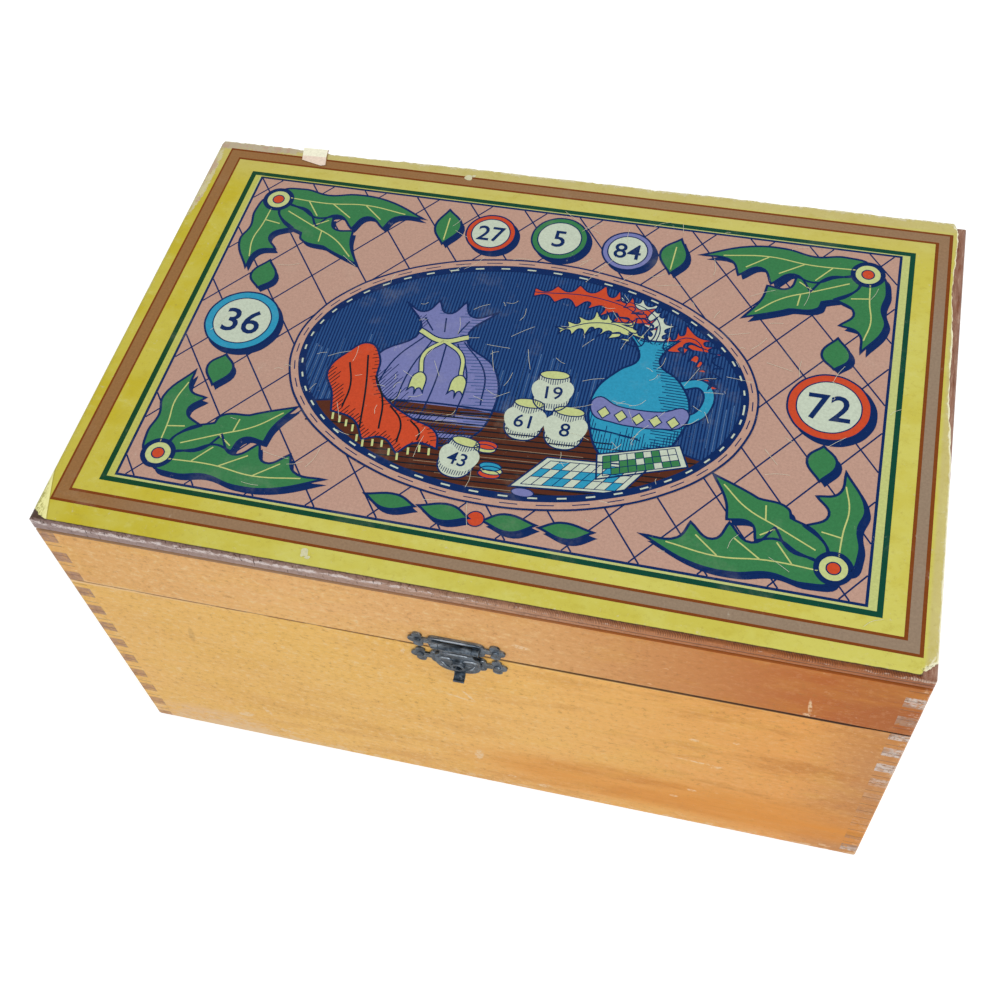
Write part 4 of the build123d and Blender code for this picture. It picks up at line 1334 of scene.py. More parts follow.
    def medallion(self) -> None:
        """Print the blue hatched oval, its brown table and its rim."""
        x, y, a, b = self.oval_x, self.oval_y, self.oval_half_width, self.oval_half_height
        edges = self.press.fill(Ink.BLUE, 4, oval(x, y, a, b, 24))
        self.press.hatch(edges, Ink.NAVY, 5, 90.0, 1.05, 0.44)
        self.press.hatch(edges, Ink.SKY, 5, 90.0, 2.1, 0.26, (0.1, 0.55), 0.08)
        table = [p for p in oval(x, y, a, b, 48) if p[1] < -26.0]
        table = sorted(table, key=lambda p: math.atan2(p[1] - y, p[0] - x))
        back = [(x + a * 0.88, -26.5), (x + 40, -21.5), (x, -19.5), (x - 40, -21.5), (x - a * 0.88, -26.5)]
        table_edges = self.press.fill(Ink.CHESTNUT, 6, table + back, smooth=False)
        self.press.hatch(table_edges, Ink.BLACK, 7, 4.0, 2.1, 0.5, (0.04, 0.93), 0.09)
        self.press.hatch(table_edges, Ink.BROWN, 7, 4.0, 3.7, 0.22, (0.2, 0.7), 0.18)
        self.press.stroke(Ink.NAVY, 7, back, width=0.7)
        self.press.stroke(Ink.NAVY, 8, oval(x, y, a, b, 24), width=5.6, closed=True)
        self.press.stroke(Ink.SALMON, 9, oval(x, y, a + 0.9, b + 0.9, 24), width=2.4, closed=True)
        count = 150
        dashes = oval(x, y, a - 1.6, b - 1.6, count)
        self.press.stroke(
            Ink.CREAM, 9, *[dashes[k:k + 2] for k in range(0, count, 3)], dashes[-1:] + dashes[:1], width=0.55,
            smooth=False,
        )
        count = 84
        beads = oval(x, y, a + 0.9, b + 0.9, count)
        self.press.stroke(Ink.NAVY, 9.5, *[beads[k:k + 2] for k in range(0, count, 2)], width=0.35, smooth=False)

    def keg(self, text: str, x: float, y: float, level: float, lean: float = 0.0, size: float = 1.0) -> None:
        """Print a turned wooden number piece standing up.

        Args:
            text: Its number.
            x: Middle of its foot, to the right.
            y: Foot, to the rear.
            level: Layer number.
            lean: Turn, in degrees.
            size: Scale.
        """
        turn = Matrix.Rotation(math.radians(lean), 2) * size

        def place(points: Path) -> Path:
            """Points from the keg's own foot, in label places."""
            return [(*(turn @ Vector(p[:2]) + Vector((x, y))), *p[2:]) for p in points]

        body = [(-4.6, 0.6), (0, -1.3), (4.6, 0.6), (5.9, 7), (4.8, 13, 1), (0, 14.6), (-4.8, 13, 1), (-5.9, 7)]
        edges = self.press.shape(Ink.CREAM, level, place(body))
        self.press.hatch(edges, Ink.NAVY, level + 1, lean + 90, 0.75, 0.24, (0.06, 0.94))
        self.press.fill(
            Ink.CREAM, level + 1.2, place([(-5.0, 3.2), (0, 1.6), (5.0, 3.2), (5.4, 10.4), (0, 9.0), (-5.4, 10.4)]),
        )
        self.press.shape(Ink.PALE, level + 1.2, place(oval(0, 13.1, 4.7, 1.7, 10)), line=0.4)
        mark = turn @ Vector((0, 6.1)) + Vector((x, y))
        self.press.number(text, mark.x, mark.y, 5.0 * size, Ink.NAVY, level + 1.5, lean, 0.07)

    def card(self, corners: Sequence[Point], tint: Ink, level: float, seed: int) -> None:
        """Print a numbered card lying on the table.

        Args:
            corners: Its four corners, round.
            tint: Colour of its filled squares.
            level: Layer number.
            seed: Chooses the filled squares.
        """
        a, b, c, d = (Vector(p) for p in corners)

        def spot(u: float, v: float) -> Point:
            """A place on the card, u along and v up, each from 0 to 1."""
            return tuple((a * (1 - u) + b * u) * (1 - v) + (d * (1 - u) + c * u) * v)

        self.press.shape(Ink.CREAM, level, list(corners), line=0.55, smooth=False)
        dice = random.Random(seed)
        columns, rows = 9, 3
        # the ruled part of the card: where it begins and how far it goes, along and up
        side, foot, wide, tall = 0.07, 0.1, 0.86, 0.8
        for column in range(columns):
            for row in dice.sample(range(rows), dice.choice((1, 2, 2))):
                u, v = side + wide * column / columns, foot + tall * row / rows
                w, h = wide / columns, tall / rows
                square = [spot(u, v), spot(u + w, v), spot(u + w, v + h), spot(u, v + h)]
                self.press.fill(tint, level + 0.7, square, smooth=False)
        uprights = [side + wide * k / columns for k in range(columns + 1)]
        rungs = [foot + tall * k / rows for k in range(rows + 1)]
        ladder = [[spot(u, foot), spot(u, foot + tall)] for u in uprights]
        ladder += [[spot(side, v), spot(side + wide, v)] for v in rungs]
        self.press.stroke(Ink.NAVY, level + 1, *ladder, width=0.26, smooth=False)

    def frond(self, spine: Sequence[Point], width: float, ink: Ink, level: float, line: float = 0.45) -> None:
        """Print a feathery leaf along a bent spine.

        Args:
            spine: Points from its stem to its tip.
            width: Half width at its widest.
            ink: Colour.
            level: Layer number.
            line: Width of its outline.
        """
        knots = [Vector(p) for p in spine]
        count = 9
        sides = {1: [], -1: []}
        for k in range(count):
            s = (k + 0.5) / count * (len(knots) - 1)
            i = min(int(s), len(knots) - 2)
            along = knots[i + 1] - knots[i]
            at = knots[i] + along * (s - i)
            way = along.normalized()
            over = Vector((-way.y, way.x))
            wide = width * math.sin(math.pi * min(1.0, 0.18 + 0.8 * (k + 0.5) / count)) ** 0.8
            for side, row in sides.items():
                row.append(tuple(at + over * side * wide * 0.42 - way * width * 0.1))
                row.append((*(at + over * side * wide + way * width * 0.55), 1))
        outline = [(*knots[0], 1), *sides[1], (*knots[-1], 1), *reversed(sides[-1])]
        self.press.shape(ink, level, outline, line=line)
        self.press.stroke(Ink.NAVY, level + 1, [tuple(p) for p in knots], width=line * 0.8)

    def pouch(self) -> None:
        """Print the tied cloth pouch."""
        body = [
            (-40, -32), (-48, -20), (-46, -4), (-35, 8), (-42, 19, 1), (-36, 16.5), (-32, 22, 1), (-28, 17),
            (-23, 23, 1), (-19.5, 17), (-12, 20, 1), (-19, 8), (-7, -3), (-3.5, -18), (-9, -32), (-25, -36),
        ]
        edges = self.press.shape(Ink.LILAC, 6, body, line=0.7)
        self.press.hatch(edges, Ink.NAVY, 7, 62.0, 0.95, 0.26, (0.0, 0.3), 0.08)
        self.press.hatch(edges, Ink.BLUE, 7, 8.0, 1.3, 0.24, (0.8, 1.0), 0.05)
        self.press.stroke(
            Ink.NAVY, 7, [(-33, 6), (-40, -5), (-43, -18)], [(-30, 5), (-34, -9), (-35, -25)],
            [(-25, 4.5), (-24.5, -12), (-26, -30)], [(-21.5, 5), (-15, -8), (-15, -24)],
            [(-19.5, 6), (-10, -5), (-8, -18)], [(-35, 14), (-31, 9)], [(-28, 15), (-27, 9)],
            [(-20, 15), (-22.5, 9)], width=0.5,
        )
        tie = [[(-35, 8.4), (-27, 5.2), (-18.6, 8.2)]]
        cords = [[(-26, 5.4), (-19, 0.5), (-17, -8)], [(-26, 5.4), (-31, -1), (-30, -9)]]
        for strings, outer, inner in ((tie, 2.6, 1.6), (cords, 1.9, 1.1)):
            self.press.stroke(Ink.NAVY, 7.5, *strings, width=outer)
            self.press.stroke(Ink.PALE, 8, *strings, width=inner)
        for x, y in ((-17, -9), (-30, -10)):
            tassel = [
                (x - 1.1, y + 1), (x + 1.1, y + 1), (x + 2.6, y - 6.5, 1), (x + 0.9, y - 5), (x, y - 7.4, 1),
                (x - 1, y - 5), (x - 2.6, y - 6.5, 1),
            ]
            self.press.shape(Ink.PALE, 8, tassel, line=0.45)

    def jug(self) -> None:
        """Print the turquoise jug and its feathery leaves."""
        for spine, width, ink, level in (
            ([(41, 16), (41.5, 24), (37, 30), (27, 33.5)], 5.0, Ink.CREAM, 6),
            ([(37, 15), (31, 21), (21, 22), (10, 17)], 5.6, Ink.PALE, 6.2),
            ([(44, 15), (52, 21), (58, 14), (61.5, 3)], 5.6, Ink.ORANGE, 6.4),
            ([(39, 17), (34, 27), (20, 32.5), (-2, 31.5)], 6.6, Ink.ORANGE, 6.6),
        ):
            self.frond(spine, width, ink, level)
        handle = [[(51, 1), (59, 2.5), (60.5, -7), (53, -14)]]
        self.press.stroke(Ink.NAVY, 6.1, *handle, width=4.0)
        self.press.stroke(Ink.TURQUOISE, 6.8, *handle, width=2.7)
        shift = (-4.0, -5.0)
        body = [
            (38, -26), (31, -14), (30, -1), (36, 9), (41, 14), (40, 19), (36.5, 24, 1), (44, 22.6), (52.5, 24, 1),
            (49, 19), (48, 14), (55, 8), (60, -2), (58, -15), (51, -26), (44, -28),
        ]
        edges = self.press.shape(Ink.TURQUOISE, 7, moved(body, *shift), line=0.7)
        self.press.hatch(edges, Ink.NAVY, 7.4, 90.0, 0.9, 0.26, (0.0, 0.26), 0.07)
        self.press.hatch(edges, Ink.NAVY, 7.7, 0.0, 1.1, 0.3, (0.72, 1.0), 0.06)
        band = [
            (31.2, -3), (38, -5.2), (45, -5.6), (52, -5), (59.4, -3), (58.8, -9.5), (52, -11.6), (45, -12.2),
            (38, -11.8), (31, -9.5),
        ]
        self.press.shape(Ink.LILAC, 8.2, moved(band, *shift), line=0.45)
        for k in range(5):
            x = 34.4 + 5.4 * k + shift[0]
            y = -8.2 - 0.9 * math.sin(math.pi * (k + 0.5) / 5) + shift[1]
            lozenge = [(x - 2, y, 1), (x, y - 2.3, 1), (x + 2, y, 1), (x, y + 2.3, 1)]
            self.press.shape(Ink.PALE, 9.4, lozenge, line=0.35, smooth=False)

    def scarf(self) -> None:
        """Print the red-orange cloth thrown over the table's left side."""
        cloth = [
            (-60, -14), (-56, -5), (-50, 0), (-45, -5), (-43, -15), (-37, -22), (-28, -27), (-19, -31),
            (-17, -37, 1), (-24, -36), (-29, -41, 1), (-35, -36), (-41, -38, 1), (-46, -31), (-54, -29, 1),
            (-56, -22),
        ]
        edges = self.press.shape(Ink.ORANGE, 8, cloth, line=0.7)
        self.press.hatch(edges, Ink.BLACK, 8.3, 58.0, 1.15, 0.32, (0.0, 0.2), 0.08)
        self.press.hatch(edges, Ink.BLACK, 8.6, 20.0, 1.5, 0.28, (0.88, 1.0), 0.05)
        self.press.stroke(
            Ink.BLACK, 9.3, [(-54, -9), (-51, -18), (-51, -27)], [(-49, -5), (-46, -17), (-43, -34)],
            [(-44, -13), (-39, -22), (-37, -33)], [(-36, -23.5), (-31, -29), (-30, -37)],
            [(-28, -28), (-24, -32), (-24, -35)], width=0.6,
        )
        hem = (
            (-53, -29.6), (-50.5, -30.4), (-48, -31.5), (-45.4, -33), (-43, -36.4), (-40.6, -38), (-37.6, -37.2),
            (-34.6, -37), (-31.6, -39.6), (-28.6, -40.8), (-25.8, -38.2), (-22.6, -36.6), (-19.4, -37.2),
        )
        fringe = [[(x, y), (x + 0.5, y - 2.6)] for x, y in hem]
        self.press.stroke(Ink.PALE, 9.4, *fringe, width=0.7, smooth=False)

    def still_life(self) -> None:
        """Print everything on the table."""
        self.keg("61", 7.0, -27.5, 6.2)
        self.keg("8", 20.0, -28.5, 6.2, size=1.02)
        self.keg("19", 13.6, -14.9, 6.6, 5.0)
        self.jug()
        self.pouch()
        self.card([(8, -46), (41, -42.5), (48, -31), (17, -33.5)], Ink.TURQUOISE, 7.9, 4)
        self.card([(33, -38.5), (59, -29), (55.5, -21.5), (31.5, -29.5)], Ink.GREEN, 8.3, 9)
        self.scarf()
        self.keg("43", -10.5, -45.0, 8, -8.0, 0.95)
        counters = (
            (1.0, -43.0, Ink.ORANGE), (1.4, -41.6, Ink.PALE), (0.8, -40.2, Ink.TURQUOISE), (-2.5, -34.0, Ink.PALE),
            (-2.2, -32.7, Ink.ORANGE), (12.5, -47.5, Ink.LILAC),
        )
        for k, (x, y, ink) in enumerate(counters):
            self.press.shape(ink, 8 + 0.22 * k, oval(x, y, 3.4, 1.5, 10), line=0.35)

    def scratches(self) -> None:
        """Draw fine pale scratches all over the print."""
        dice = random.Random(31)
        lines = []
        for _ in range(150):
            x, y = dice.gauss(10, 62), dice.gauss(5, 36)
            angle, reach = dice.gauss(0.6, 0.9), dice.uniform(1.5, 9.0)
            end = (x + reach * math.cos(angle), y + reach * math.sin(angle))
            if max(abs(x), abs(end[0])) > 120 or max(abs(y), abs(end[1])) > 76:
                continue
            bow = dice.uniform(-0.6, 0.6)
            lines.append([(x, y), ((x + end[0]) / 2 + bow, (y + end[1]) / 2 - bow), end])
        self.press.stroke(Ink.CHIP, 10.5, *lines, width=0.11)

    def build(self) -> None:
        """Print the whole picture."""
        self.ground()
        for side in (-1, 1):
            for end in (-1, 1):
                self.corner(side, end)
        self.numbers()
        self.medallion()
        self.still_life()
        self.scratches()


@dataclass
class Label:
    """Paper label on the lid, with its striped border and its picture."""

    left: float = -134.6
    right: float = 134.5
    front: float = -84.2
    rear: float = 85.8
    picture: tuple[float, float, float, float] = (-113.0, 114.8, -65.7, 68.9)
    level: float = 141.045
    # highest that the loose rear edge may stand, under the CAD label's own top
    ceiling: float = 141.285
    thickness: float = 0.035
    nosing: float = 2.0
    # size of the torn corners: front left, front right, rear left, rear right
    torn: tuple[float, float, float, float] = (5.0, 5.4, 2.0, 3.0)
    # where the paper leaves the board at the rear, and how high its waves stand
    loose_from: float = 81.8
    lift: float = 0.2
    # how far the print draws inward at the rear right corner
    skew: float = 1.3

    def borders(self, press: Press) -> None:
        """Print the stripes round the picture.

        Args:
            press: The press.
        """
        green_inside = (-115.3, 117.2, -66.5, 69.3)
        for outer, inner, ink, level in (
            ((-129.05, 129.9, -77.9, 81.1), (-124.2, 125.2, -73.1, 76.55), Ink.BROWN, 0),
            ((-129.3, 130.4, -78.25, 81.4), (-128.65, 129.3, -77.35, 80.6), Ink.RUST, 1),
            ((-124.8, 126.0, -73.85, 77.1), (-124.15, 124.95, -72.95, 76.3), Ink.RUST, 1),
            (green_inside, self.picture, Ink.LIME, 0),
            ((-117.1, 118.9, -68.3, 71.0), green_inside, Ink.BOTTLE, 0),
        ):
            press.frame(outer, inner, ink, level)
        press.fill(Ink.NAVY, 0, rectangle(*self.picture), smooth=False)

    def damage(self, press: Press) -> None:
        """Print the stuck-on scrap at the rear edge and the chips along the front and rear ones.

        Args:
            press: The press.
        """
        scrap = [(-102.2, 85.9), (-92.9, 86.2), (-92.3, 82.2), (-101.4, 81.9)]
        under = [(-101.4, 81.9), (-92.3, 82.2), (-91.4, 78.3), (-93.0, 77.7), (-100.8, 79.6)]
        press.fill(Ink.SCRAP, 10.1, scrap, smooth=False)
        press.fill(Ink.BLUSH, 10.1, under, smooth=False)
        press.stroke(Ink.BROWN, 10.3, [(-92.7, 86.1), (-92.1, 82.2), (-91.2, 78.2)], width=0.3, smooth=False)
        chips = ((-45.5, -80.4, 1.5, 2.1), (-44.0, -82.0, 0.9, 0.8), (-37.8, 80.9, 1.5, 1.6),
                 (-36.0, 82.0, 0.8, 0.6))
        for x, y, wide, tall in chips:
            dice = random.Random(int(x))
            chip = [(x + wide * dice.uniform(0.6, 1.1) * math.cos(a),
                     y + tall * dice.uniform(0.6, 1.1) * math.sin(a)) for a in (k * TAU / 9 for k in range(9))]
            press.fill(Ink.CHIP, 2, chip)

    def torn_place(self, u: float, v: float) -> tuple[float, float, float]:
        """Find where a point of the sheet comes, with its frayed sides and torn corners.

        Args:
            u: Place on the sheet, -1 at the left side and 1 at the right.
            v: Place on the sheet, -1 at the front and 1 at the rear.

        Returns:
            Its x and y, and its distance to the rim.
        """
        middle_x, middle_y = (self.left + self.right) / 2, (self.front + self.rear) / 2
        half_x, half_y = (self.right - self.left) / 2, (self.rear - self.front) / 2
        from_side, from_end = (1 - abs(u)) * half_x, (1 - abs(v)) * half_y
        fray = noise.noise(Vector((u * 40, v * 25, 4.0))) + 0.6 * noise.noise(Vector((u * 130, v * 80, 9.0)))
        tear = self.torn[(u > 0) + 2 * (v > 0)] * (1.0 + 0.35 * fray) - (from_side + from_end)
        push = max(tear, 0.0) * 0.5
        x = middle_x + math.copysign(half_x - from_side - push, u)
        y = middle_y + math.copysign(half_y - from_end - push, v)
        side_pull = max(fray, -0.3) * (0.15 if u < 0 else 0.6)
        if u > 0:
            # the right side is worn back in waves, more and more to the rear
            bare = min(1.0, max(0.0, (y + 20.0) / 100.0))
            side_pull += 3.9 * (1.0 - math.exp(-3.0 * bare)) + (0.1 + 0.4 * bare) * math.sin(y / 7.0)
        x -= math.copysign(side_pull * math.exp(-from_side / (2.0 if u < 0 else 5.0)), u)
        end_pull = max(fray, -0.4) * (0.16 if v < 0 else 0.7)
        if v > 0:
            end_pull -= 1.0 * math.exp(-((x + 80.0) / 24.0) ** 2)
        y -= math.copysign(end_pull * math.exp(-from_end / 2.0), v)
        return x, y, min(from_side, from_end, max(0.0, -tear * 0.7))

    def laid(self, x: float, y: float) -> Vector:
        """Lay a point on the board: down over its rounded edge, but off it along the rear.

        Args:
            x: Place to the right.
            y: Place to the rear.

        Returns:
            The point, in millimetres.
        """
        z = self.level
        flat_x, flat_y = CASE_HALF_WIDTH - self.nosing, CASE_HALF_DEPTH - self.nosing
        across, deep = abs(x) - flat_x, abs(y) - flat_y
        bend = self.nosing + 0.03
        if across > 0:
            angle = min(across / self.nosing, 1.28)
            x = math.copysign(flat_x + bend * math.sin(angle), x)
            z -= self.nosing * (1 - math.cos(angle))
        if deep > 0 and y < 0:
            angle = deep / self.nosing
            y = -(flat_y + bend * math.sin(angle))
            z -= self.nosing * (1 - math.cos(angle))
        if y > self.loose_from:
            wave = 0.5 + 0.5 * math.sin(x / 6.5 + 2.0 * noise.noise(Vector((x / 18, 1.0, 2.0))))
            z += self.lift * wave * min(1.0, (y - self.loose_from) / 2.5)
        return Vector((x, y, min(z, self.ceiling)))

    def paper(self) -> Object:
        """Make the sheet of paper, its rim ragged and its corners torn.

        Returns:
            The sheet.
        """
        mesh = bmesh.new()
        bmesh.ops.create_grid(mesh, x_segments=220, y_segments=140, size=1.0)
        rim = mesh.verts.layers.float.new("rim")
        for vert in mesh.verts:
            # grid lines stand closer together near the rim
            u, v = (math.copysign(1 - (1 - abs(w)) ** 1.35, w) for w in vert.co.xy)
            x, y, vert[rim] = self.torn_place(u, v)
            vert.co = self.laid(x, y) * MM
        sheet = mesh_object("label_sheet", mesh, True)
        solid = sheet.modifiers.new("thickness", "SOLIDIFY")
        solid.thickness = self.thickness * MM
        solid.offset = -1.0
        return sheet

    def slant(self, printed: Object) -> None:
        """Draw the print inward at the rear right corner, as the photograph shows it.

        Args:
            printed: The print.
        """
        for vert in printed.data.vertices:
            share = (vert.co.x / MM + CASE_HALF_WIDTH) / (2 * CASE_HALF_WIDTH) * (vert.co.y / MM + CASE_HALF_DEPTH)
            vert.co.x -= self.skew * share / (2 * CASE_HALF_DEPTH) * MM

    def build(self) -> None:
        """Make the paper and print on it."""
        sheet = self.paper()
        sheet.data.materials.append(Paper().material())
        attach(sheet, "lid")
        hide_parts("lid_label")
        press = Press()
        self.borders(press)
        Picture(press).build()
        self.damage(press)
        printed = press.publish("label_print")
        self.slant(printed)
        printed.data.materials.append(Print().material())
        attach(printed, "lid")
        LOG.info("label: %d printed faces", len(printed.data.polygons))


@dataclass(frozen=True)
class Pressing:
    """Raised ridges of one sheet part of the catch, as x from its middle and z above the seam."""

    node: str
    body: str
    face: float
    radius: float
    paths: tuple[tuple[Point, ...], ...]


def both_sides(*path: Point) -> tuple[tuple[Point, ...], tuple[Point, ...]]:
    """A path and its mirror image."""
    return path, tuple((-x, z) for x, z in path)


@dataclass
class Catch:
    """Stamped iron catch: rounded copies of its sheet parts, with their pressed ridges."""

    centre_x: float = -1.8
    bevel: float = 0.16
    pressings: tuple[Pressing, ...] = (
        Pressing("catch_plate", "lid", -85.7, 0.42, (((-8.2, 7.1), (-4, 7.25), (4, 7.25), (8.2, 7.1)),)),
        Pressing("catch_keeper", "base", -85.7, 0.34, both_sides((-8.2, -1.9), (-6.5, -2.6), (-8.0, -3.4))),
        Pressing("catch_hasp", "hasp", -86.75, 0.4, (
            *both_sides((-6.3, -2.4), (-4.6, -2.0), (-2.6, -2.2), (-1.4, -3.4)),
            ((-4.6, 0.9), (-1.5, 1.15), (1.5, 1.15), (4.6, 0.9)),
            *both_sides((-5.4, -5.0), (-4.2, -7.2), (-2.6, -8.6)),
        )),
    )

    def rounded(self, node: str) -> BMesh:
        """Copy a node's mesh and round its sharp edges.

        Args:
            node: The node.

        Returns:
            The rounded mesh; its rubbed edges have the second finish.
        """
        mesh = bmesh.new()
        mesh.from_mesh(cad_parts[node].data)
        bmesh.ops.remove_doubles(mesh, verts=mesh.verts, dist=0.004 * MM)
        bmesh.ops.dissolve_limit(mesh, angle_limit=math.radians(4.0), verts=mesh.verts, edges=mesh.edges)
        sharp = [e for e in mesh.edges if e.is_manifold and e.calc_face_angle(0.0) > math.radians(35.0)]
        made = bmesh.ops.bevel(mesh, geom=sharp, offset=self.bevel * MM, offset_type="OFFSET", affect="EDGES",
                               segments=2, profile=0.5, material=-1, clamp_overlap=True)
        for face in made["faces"]:
            face.material_index = 1
        return mesh

    def ridge(self, mesh: BMesh, path: Sequence[Point], face: float, radius: float) -> None:
        """Raise a rounded ridge along a path of points.

        Args:
            mesh: The mesh to add it to.
            path: Points, x from the catch's middle and z above the seam.
            face: The face it rises from.
            radius: Its half width; it stands up by as much.
        """
        count = len(path)
        rings = []
        for k, (x, z) in enumerate(path):
            before, after = path[max(k - 1, 0)], path[min(k + 1, count - 1)]
            way = Vector((after[0] - before[0], 0, after[1] - before[1])).normalized()
            thick = radius * (0.35 if k in (0, count - 1) else 1.0)
            middle = Vector((self.centre_x + x, face, SEAM_LEVEL + z)) * MM
            circle = bmesh.ops.create_circle(mesh, segments=10, radius=thick * MM)
            turn = way.to_track_quat("Z", "Y").to_matrix().to_4x4()
            bmesh.ops.transform(mesh, matrix=Matrix.Translation(middle) @ turn, verts=circle["verts"])
            rings.append({e for v in circle["verts"] for e in v.link_edges})
        for a, b in zip(rings, rings[1:]):
            bmesh.ops.bridge_loops(mesh, edges=list(a | b))
        for ring in (rings[0], rings[-1]):
            bmesh.ops.contextual_create(mesh, geom=list(ring))

    def build(self) -> None:
        """Make the catch's pieces and dress the plain ones."""
        finishes = [BLACKENED_IRON.material(), RUBBED_IRON.material()]
        dress(["catch_plate_nails", "catch_keeper_nails", "catch_pin"], finishes[0])
        for part in self.pressings:
            made = mesh_object(f"{part.node}_sheet", self.rounded(part.node))
            for finish in finishes:
                made.data.materials.append(finish)
            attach(made, part.body)
            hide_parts(part.node)
            relief = bmesh.new()
            for path in part.paths:
                self.ridge(relief, path, part.face, part.radius)
            bmesh.ops.recalc_face_normals(relief, faces=relief.faces)
            raised = mesh_object(f"{part.node}_ridges", relief, True)
            raised.data.materials.append(finishes[1])
            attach(raised, part.body)
            LOG.info("%s: %d faces, %d ridges", made.name, len(made.data.polygons), len(part.paths))


@dataclass
class NumberPieces:
    """Ninety turned number pieces in two layers, the upper ones showing their numbers."""

    columns: int = 9
    rows: int = 5
    pitch: float = 18.6
    centre: Point = (42.5, 31.5)
    levels: Point = (5.0, 18.05)
    ball_radius: float = 8.9
    height: float = 13.0
    rim: float = 0.8
    sunk: float = 0.4
    sides: int = 16
    crease: float = 32.0
    digits: float = 5.3
    weight: float = -0.03
    # bar under a number that could be read upside down: half length, place and width
    bar: tuple[float, float, float] = (2.3, -3.7, 0.55)

    def blank(self) -> BMesh:
        """Turn one piece on its axis, standing on the origin.

        Returns:
            The piece.
        """
        half = self.height / 2
        end = math.sqrt(self.ball_radius ** 2 - half ** 2)
        profile = [(0.0, 0.0)]
        for k in range(7):
            angle = math.asin(half / self.ball_radius) * (k / 3 - 1)
            profile.append((self.ball_radius * math.cos(angle), half + self.ball_radius * math.sin(angle)))
        inside = end - self.rim
        bottom = self.height - self.sunk
        profile += [(inside, self.height), (inside - 0.15, bottom), (0.0, bottom)]
        mesh = bmesh.new()
        verts = [mesh.verts.new((r * MM, 0, z * MM)) for r, z in profile]
        edges = [mesh.edges.new(pair) for pair in zip(verts, verts[1:])]
        bmesh.ops.spin(mesh, geom=verts + edges, cent=(0, 0, 0), axis=(0, 0, 1), angle=TAU, steps=self.sides,
                       use_merge=True)
        bmesh.ops.remove_doubles(mesh, verts=mesh.verts, dist=0.001 * MM)
        bmesh.ops.recalc_face_normals(mesh, faces=mesh.faces)
        for edge in mesh.edges:
            edge.smooth = edge.calc_face_angle(0.0) < math.radians(self.crease)
        return mesh

    def build(self) -> None:
        """Set all the pieces in their bay and number the upper ones."""
        one = bpy.data.meshes.new("number_piece")
        blank = self.blank()
        blank.to_mesh(one)
        blank.free()
        whole = bmesh.new()
        dice = random.Random(17)
        order = dice.sample(range(1, 91), self.columns * self.rows)
        spots = [(self.centre[0] + (column - (self.columns - 1) / 2) * self.pitch,
                  self.centre[1] + (row - (self.rows - 1) / 2) * self.pitch)
                 for column in range(self.columns) for row in range(self.rows)]
        for level in self.levels:
            for x, y in spots:
                turn = Matrix.Rotation(dice.uniform(0, TAU), 4, "Z")
                before = len(whole.verts)
                whole.from_mesh(one)
                whole.verts.ensure_lookup_table()
                place = Matrix.Translation(Vector((x, y, level)) * MM) @ turn
                bmesh.ops.transform(whole, matrix=place, verts=whole.verts[before:])
        bpy.data.meshes.remove(one)
        pieces = mesh_object("number_pieces_turned", whole, True)
        pieces.data.materials.append(TurnedWood().material())
        press = Press(floor=self.levels[-1] + self.height - self.sunk + 0.03, turn=0.0)
        half, below, width = self.bar
        for number, (x, y) in zip(order, spots):
            lean = dice.uniform(-40, 40)
            press.number(str(number), x, y, self.digits, Ink.BLACK, 0, lean, self.weight)
            if set(str(number)) <= set("6890") and str(number) not in ("8", "80", "88"):
                turn = Matrix.Rotation(math.radians(lean), 2)
                bar = [tuple(turn @ Vector((side * half, below)) + Vector((x, y))) for side in (-1, 1)]
                press.stroke(Ink.BLACK, 0, bar, width=width, smooth=False)
        figures = press.publish("number_piece_figures")
        figures.data.materials.append(Print().material())
        for made in (pieces, figures):
            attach(made, "base")
        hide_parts("number_pieces")
        LOG.info("number pieces: %d faces, %d numbered", len(pieces.data.polygons), len(order))


@dataclass
class Cards:
    """Twenty-four pasteboard cards; the top one shows its printed squares."""

    count: int = 24
    margin: float = 5.0
    columns: int = 9
    rows: int = 3
    shown: int = 5
    digits: float = 9.0
    weight: float = 0.1
    # the rule round the squares: how far out its two sides lie
    rule: Point = (2.2, 1.2)
    gap: float = 0.4

    def build(self) -> None:
        """Dress the cards and print the top one."""
        names = [f"card_{k:02d}" for k in range(1, self.count + 1)]
        dress(names, CardBoard().material())
        low, high = (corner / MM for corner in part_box(names[-1]))
        press = Press(floor=high.z + 0.02, turn=0.0)
        left, right = low.x + self.margin, high.x - self.margin
        front, rear = low.y + self.margin, high.y - self.margin
        outer, inner = ((left - out, right + out, front - out, rear + out) for out in self.rule)
        press.frame(outer, inner, Ink.RUST, 0)
        wide, tall = (right - left) / self.rows, (rear - front) / self.columns
        dice = random.Random(5)
        tens = [dice.sample(range(max(1, column * 10), column * 10 + 10), self.rows)
                for column in range(self.columns)]
        half_x, half_y = wide / 2 - self.gap, tall / 2 - self.gap
        for row in range(self.rows):
            shown = sorted(dice.sample(range(self.columns), self.shown))
            for column in range(self.columns):
                x, y = left + wide * (row + 0.5), front + tall * (column + 0.5)
                if column in shown:
                    number = str(tens[column][row])
                    press.number(number, x, y, self.digits, Ink.BLACK, 1, 90.0, self.weight)
                else:
                    square = rectangle(x - half_x, x + half_x, y - half_y, y + half_y)
                    edges = press.fill(Ink.PALE, 0, square, smooth=False)
                    press.hatch(edges, Ink.GREEN, 1, 45.0, 1.5, 0.45)
        lines = [[(left + wide * k, front), (left + wide * k, rear)] for k in range(self.rows + 1)]
        lines += [[(left, front + tall * k), (right, front + tall * k)] for k in range(self.columns + 1)]
        press.stroke(Ink.RUST, 2, *lines, width=0.5, smooth=False)
        printed = press.publish("top_card_print")
        printed.data.materials.append(Print().material())
        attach(printed, "base")
        LOG.info("cards: %d, top one printed with %d faces", self.count, len(printed.data.polygons))


